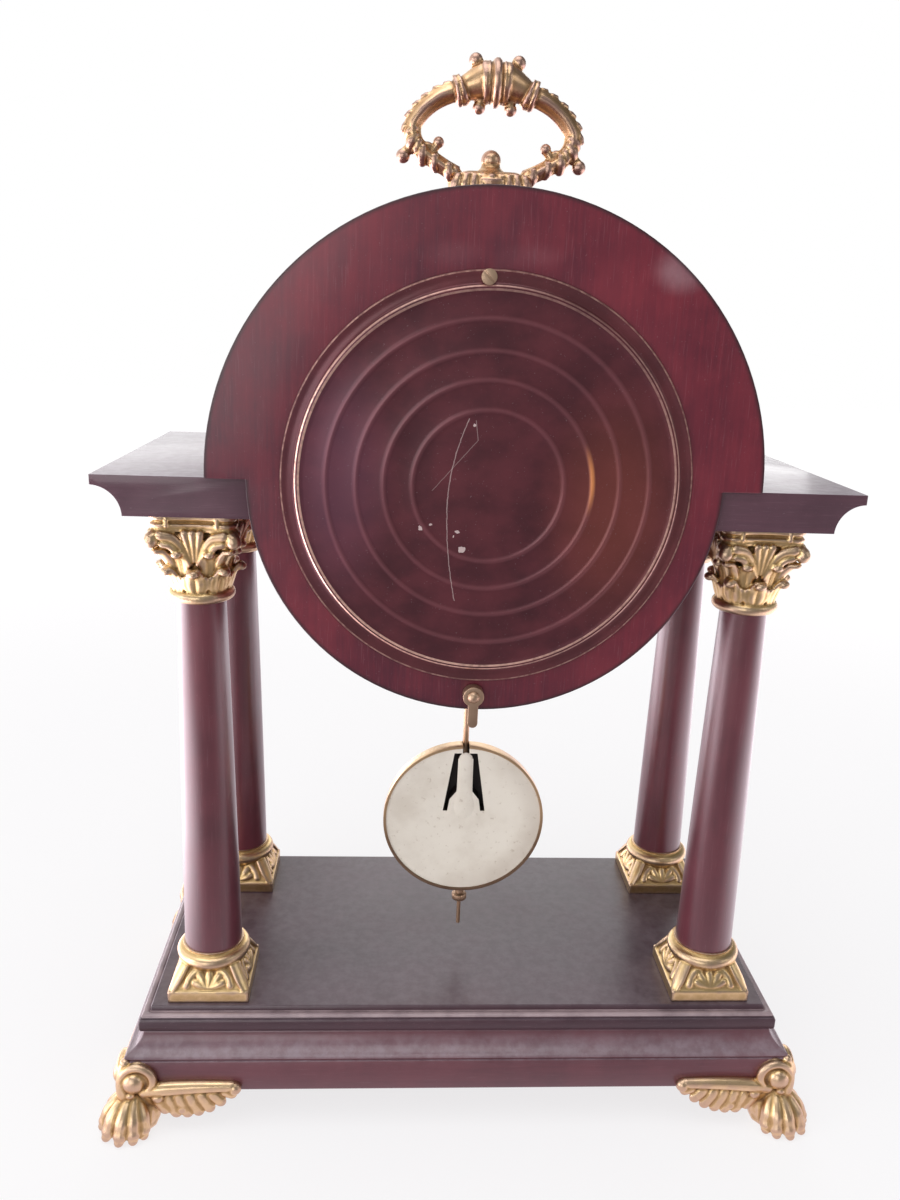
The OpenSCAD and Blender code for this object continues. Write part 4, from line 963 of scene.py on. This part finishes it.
# A long bent scratch with a slanting one across it, chips in the lacquer, and fine dust
wobble, belly_z = rubbed - 0.5, -6.4
curved = 11.7 - (dz - belly_z) * (dz - belly_z) * ((dz > belly_z) * 0.0043 + 0.004)
scratch = (abs(x - curved + wobble * 0.6) < 0.13) * dz.within(-34.3, 19.5)
slant = (abs(x - 3.5 - (13.4 - dz) * 0.858 + wobble * 0.4) < 0.11) * dz.within(-1.4, 13.4)
tail = (abs(x - 4.3 + (19.0 - dz) * 0.14) < 0.11) * dz.within(13.4, 19.0)
marks = scratch * 0.55 + slant * 0.35 + tail * 0.35
chips = [(8.4, -13.4, 0.45), (19.4, -12.7, 0.5), (16.2, -11.4, 0.3)]
chips += [(6.8, -18.6, 0.95), (9.6, -14.5, 0.4), (4.5, 17.7, 0.3)]
for chip_x, chip_z, chip_r in chips:
    from_chip = ((x - chip_x) ** 2 + (dz - chip_z) ** 2) ** 0.5
    marks = marks.larger(from_chip + wobble * 2.2 < chip_r)
film = lacquer.blend(marks * (reach < 54), film, (0.62, 0.48, 0.47))
motes = lacquer.noise(1900, 1.0).clip(0.72, 0.80) * 0.18
film = lacquer.blend(motes, film, (0.45, 0.36, 0.40))
cover_skin = lacquer.surface(
    Base_Color=film,
    Metallic=copper_and_highlight * 0.45 + 0.4,
    Roughness=blotch * 0.12 + 0.28,
    Coat_Weight=0.2,
    Coat_Roughness=0.18,
    Normal=lacquer.bump(swirl * 0.7 + blotch * 0.3, 0.25, 0.3),
)
cover_shape = shells(turned(cover_profile, 160, 1, (0, 0, shelf_top)))
piece("pressed_cover", cover_shape, cover_skin, "cover", ["dust_cover"], sharp=50)
dull_brass = metal("pinkish_old_brass", (0.52, 0.36, 0.25), 0.42)
eased("cover_screw", "cover_screw_head", dull_brass, "case", "brass", 0.15)
eased("turn_button", "brass_turn_button", dull_brass, "button", "brass", 0.2)
eased("button_screw", "button_screw_head", dull_brass, "case", "brass", 0.1)


# Pendulum: a copper-brown rod, a lens bob with brass skin and a painted iron back, and a nut.
# The painted back lies inside the rolled rim, with a pocket on each side of the rod's socket.
rod_y, bob_z, bob_r = 13, 96.4, 28.6
paint = Finish("bob_paint_and_brass")
x, y, z = paint.along()
dz = z - bob_z
reach = (x * x + dz * dz) ** 0.5
stain, spots = paint.noise(70, 4.0, 0.6), paint.noise(520, 3.0, 0.6)
soiled = stain.clip(0.4, 0.75) * 0.3 + spots.clip(0.60, 0.72) * 0.45
white = paint.blend(soiled, (0.86, 0.79, 0.70), (0.50, 0.40, 0.31))
# Painted shade: the paint darkens towards the lower right edge of the domed back
bob_edge_shade = ((reach - 18.0) / 9.0).clip(0, 1) * (0.0 - x + 8.0 - dz * 0.3).clip(0, 28)
white = paint.blend(bob_edge_shade * 0.35, white, (0.42, 0.33, 0.27))
pocket_y, rim_wide = rod_y + 3.9, 0.95
# Below the pocket floor the paint is near black: painted shade in the pockets beside the socket
white = paint.blend(y < pocket_y, white, (0.022, 0.014, 0.012))
painted = (reach < bob_r - rim_wide) * (y > rod_y - 2.2)
brassy = paint.blend(stain.clip(0.4, 0.75), (0.66, 0.46, 0.27), (0.44, 0.29, 0.16))
# Painted shade: the brass rim darkens towards the bottom on the painted side
lower_rim_shade = (0.0 - dz).clip(-8, 16) * (y > rod_y + 1.5) * 0.75
brassy = paint.blend(lower_rim_shade, brassy, (0.10, 0.06, 0.05))
bob_skin = paint.surface(
    Base_Color=paint.blend(painted, brassy, white),
    Metallic=1.0 - painted,
    Roughness=painted * 0.25 + 0.30 + spots * 0.1,
    Normal=paint.bump(stain * 0.6 + spots * 0.4, 0.10, 0.4),
)
eased("bob", "lens_bob", bob_skin, "bob_slide_body", "bob_paint", 0.3)
socket_run = [(23.4, 2.5, 16.9), (18, 2.6, 16.9), (12, 2.8, 16.8), (9, 3.4, 16.6)]
socket_run += [(6, 4.8, 16.2), (2, 5.6, 15.6), (-4, 5.0, 14.9)]
socket_path = [(0, deep_y, bob_z + up_z, wide) for up_z, wide, deep_y in socket_run]
socket = bar(socket_path, 30, sides=24, flat=0.33, up=(0, 1, 0))
piece("bob_socket", shells(socket), bob_skin, "bob_slide_body")
refinish("pendulum_rod", metal("copper_brown_rod", (0.70, 0.47, 0.31), 0.42))
nut_z, disc_high, collar_high, thread_r = bob_z - bob_r - 6.3, 2.6, 6.1, 0.75
angle = np.linspace(0, 2 * math.pi, 96, endpoint=False)
knurl = 2.6 + 0.1 * np.sign(np.sin(24 * angle))
nut_rows = [(thread_r, 0), (2.1, 0), (0.95 * knurl, 0.3), (knurl, 0.6), (knurl, disc_high - 0.5)]
nut_rows += [(0.93 * knurl, disc_high - 0.15), (1.5, disc_high + 0.3), (1.4, collar_high)]
nut_rows += [(thread_r, collar_high), (thread_r, 0)]
nut = []
for radius, height in nut_rows:
    ring = [radius * np.cos(angle), radius * np.sin(angle) + rod_y, 0 * angle + nut_z + height]
    nut.append(np.stack(ring, -1))
nut_shape = shells(np.stack(nut))
piece("knurled_nut", nut_shape, dull_brass, "rating_nut_body", ["rating_nut"])


# Handle: one rose-gilt casting. A ringed spindle joins two leafy curved arms, which spring from
# a pedestal; small balls on stems stand off the arms, and a ball finial stands in the middle.
handle_gilt = gilt(
    "handle_gilding", worn=(0.43, 0.27, 0.23), ridge_highlight=(0.72, 0.48, 0.28),
    middle=(0.46, 0.28, 0.15), hollow=(0.12, 0.055, 0.03), gloss=0.28,
)
handle_x, lean_angle, loop_low, depthways = -1, math.radians(1.2), 59.1, (0, 1, 0)
pad_z = shelf_top + drum_r_up
hinge_z = pad_z + 6
loop_run = [
    (1.5, 87.8, 5.9), (2.8, 87.7, 5.9), (3.2, 87.7, 6.2), (4, 87.6, 6), (5, 87.4, 5.3),
    (8, 86.3, 4.1), (9.7, 85.5, 3.6), (12.5, 84.55, 2.9), (14.5, 83.9, 2.8), (17.3, 82.6, 2.7),
    (20, 80.7, 2.6), (22.1, 78.8, 2.6), (24, 76.4, 2.55), (25, 74.2, 2.5), (24.9, 71.6, 2.45),
    (23.9, 69.4, 2.4), (22.2, 67.6, 2.4), (20.1, 66, 2.35), (15, 63.1, 2.3), (10.6, 61.2, 2.2),
]
cuff_run = [(9.6, 85.55, 3.7), (9.9, 85.4, 4.5), (10.7, 85.1, 4.6), (11.1, 85.0, 4.1)]
cuff_run += [(11.5, 84.9, 4.6), (12.3, 84.6, 4.5), (12.7, 84.5, 3.2)]
root_run = [(11.6, 61.7, 2.3), (10.6, 60.0, 2.3), (11.3, 57.8, 2.0), (10.6, 55.5, 2.0)]
outer_stem = [(21.0, 67.0, 2.1), (24.0, 67.6, 1.7), (26.4, 67.3, 1.5), (27.5, 65.9, 1.5)]
stems_and_knobs = [
    (outer_stem, (27.7, 65.4, 2.2)),
    ([(19.4, 65.6, 1.8), (18.4, 67.6, 1.4), (17.0, 69.6, 1.4)], (16.8, 70.0, 1.75)),
    ([(3.6, 87.6, 2.6), (5.2, 91.2, 2.1), (6.5, 93.2, 1.8)], (6.6, 93.7, 2.2)),
    ([(4.0, 84.2, 2.4), (4.5, 82.4, 1.9), (4.8, 81.0, 1.7)], (4.9, 80.6, 2.0)),
]


def on_loop(side, run):
    """Points of (out from the middle, height, radius) on the loop's left or right half."""
    return [(side * out, 0, height, radius) for out, height, radius in run]


def leaned(grid):
    """Moves points drawn about the upright loop onto the pedestal, tipped as the real one is."""
    across, height = grid[..., 0], grid[..., 2] - loop_low
    x = across * math.cos(lean_angle) - height * math.sin(lean_angle) + handle_x
    z = across * math.sin(lean_angle) + height * math.cos(lean_angle) + hinge_z
    return np.stack([x, grid[..., 1], z], -1)


angle = np.linspace(0, 2 * math.pi, 30, endpoint=False)
fluted = np.clip((np.arange(120) - 40) / 15, 0, 1)[:, None]
ridges = (1 + 0.10 * np.cos(4 * angle) * fluted)[..., None]
handle_grids = []
for side in (-1, 1):
    arm = curve(on_loop(side, loop_run), 120)
    line, centre_line = arm[:, :3], arm[:, None, :3]
    grid = tube(line, arm[:, 3], 30, up=depthways)
    handle_grids.append(centre_line + (grid - centre_line) * ridges)
    way = np.gradient(line, axis=0)
    way /= np.linalg.norm(way, axis=1)[:, None]
    outward = np.stack([-way[:, 2], 0 * way[:, 0], way[:, 0]], -1) * side
    for place in (48, 55, 62, 69, 76, 83):
        spot, out, on = line[place], outward[place], way[place]
        leaf = [(*(spot - on * 1.6 + out * 1.2), 1.2), (*(spot + out * 2.3), 1.25)]
        leaf += [(*(spot + on * 1.0 + out * 2.9), 0.75)]
        handle_grids.append(bar(leaf, 8, up=depthways))
    for place, grown in ((86, 0.8), (92, 1.05), (98, 0.8), (104, 1.1), (110, 0.85), (116, 1.0)):
        spot, out, on = line[place], outward[place], way[place]
        for deep in (np.array([0, -1, 0]), np.array([0, 1, 0])):
            leaf = [(*(spot + out * 2.2 * grown + on * 1.2 + deep * 0.3), 1.4 * grown)]
            leaf += [(*(spot + out * 1.0 + deep * 1.2), 1.7 * grown)]
            leaf += [(*(spot - out * 0.6 - on * 1.0 + deep * 1.3), 1.4)]
            handle_grids.append(bar(leaf, 10, up=depthways))
    inner_curl = [(100, 1.2, 1.3), (104, 2.4, 1.3), (109, 1.6, 1.0)]
    inner_curl = [(*(line[place] - outward[place] * off), r) for place, off, r in inner_curl]
    handle_grids.append(bar(inner_curl, 10, up=depthways))
    cuff = curve(on_loop(side, cuff_run), 22)
    handle_grids.append(tube(cuff[:, :3], cuff[:, 3], 24, up=depthways))
    for stem, (knob_x, knob_z, knob_r) in stems_and_knobs:
        handle_grids.append(bar(on_loop(side, stem), 14, up=depthways))
        handle_grids.append(ball((side * knob_x, 0, knob_z), (knob_r, knob_r, knob_r), 11, 16))
    handle_grids.append(bar(on_loop(side, root_run), 14, up=depthways))
spindle = [(0, -3.6), (4.6, -3.5), (6.0, -3.0), (6.3, -2.4), (5.7, -1.9), (5.8, -1.6), (6.6, -1.2)]
spindle += [(7.1, -0.5), (7.1, 0.4), (6.6, 1.1), (5.8, 1.5), (5.7, 1.8), (6.2, 2.3), (6.0, 3.0)]
spindle += [(4.6, 3.5), (0, 3.6)]
handle_grids.append(turned(spindle, 40, 0, (0, 0, 87.8)))
handle_grids = [leaned(grid) for grid in handle_grids]

bell_z, finial_z, finial_r = pad_z + 6.2, shelf_top + 94.2, 3.15
bell = [(0, -1.5), (7.6, -1.5), (7.8, 0.2), (6.6, 1.6), (5.2, 2.2)]
bell += [(4.4, 3.2), (3.2, 4.2), (2.8, 5.2), (3.1, 5.8), (0, 5.8)]
handle_grids.append(turned(bell, 32, 2, (handle_x, 0, bell_z)))
handle_grids.append(ball((handle_x, 0, finial_z), (finial_r, finial_r, finial_r), 13, 20))
for k in range(12):
    turn = k * math.pi / 6
    berry = (handle_x + 6.6 * math.cos(turn), 6.0 * math.sin(turn), bell_z + 0.9)
    handle_grids.append(ball(berry, (1.5, 1.5, 1.2)))
for k in range(-4, 5):
    petal_run = [(2.7 * k, 5.2, 1.5, 1.5), (2.75 * k, 5.7, 4.5, 1.7)]
    petal_run += [(2.6 * k, 5.2, 7.2 - 0.12 * abs(k), 1.5)]
    for face in (-1, 1):
        petal = [(handle_x + x, face * y, pad_z + z, r) for x, y, z, r in petal_run]
        handle_grids.append(bar(petal, 10, up=(1, 0, 0)))
pad_section = [(0.8, -1.2), (0, -0.6), (0, 3.0), (0.4, 4.8), (0.9, 5.4), (1.0, 8.2), (2.2, 9.0)]
pad_half, pad_deep = 12.0, 7.0
pad = moulding(pad_section, pad_deep, pad_deep, 1.5, 4) * (pad_half / pad_deep, 1, 1)
handle_grids.append(pad + (handle_x, 0, pad_z))

# Cast, then lifted onto the drum wherever the skin would sink below it
points, faces, depth = cast(handle_grids, 0.27, 1)
reach = np.hypot(points[:, 0], points[:, 2] - shelf_top)
lift = np.where(reach < drum_r_up, drum_r_up / np.maximum(reach, 1), 1)
points[:, 0] *= lift
points[:, 2] = shelf_top + (points[:, 2] - shelf_top) * lift
piece("cast_handle", (points, faces), handle_gilt, "case", ["handle"], hollow=depth)
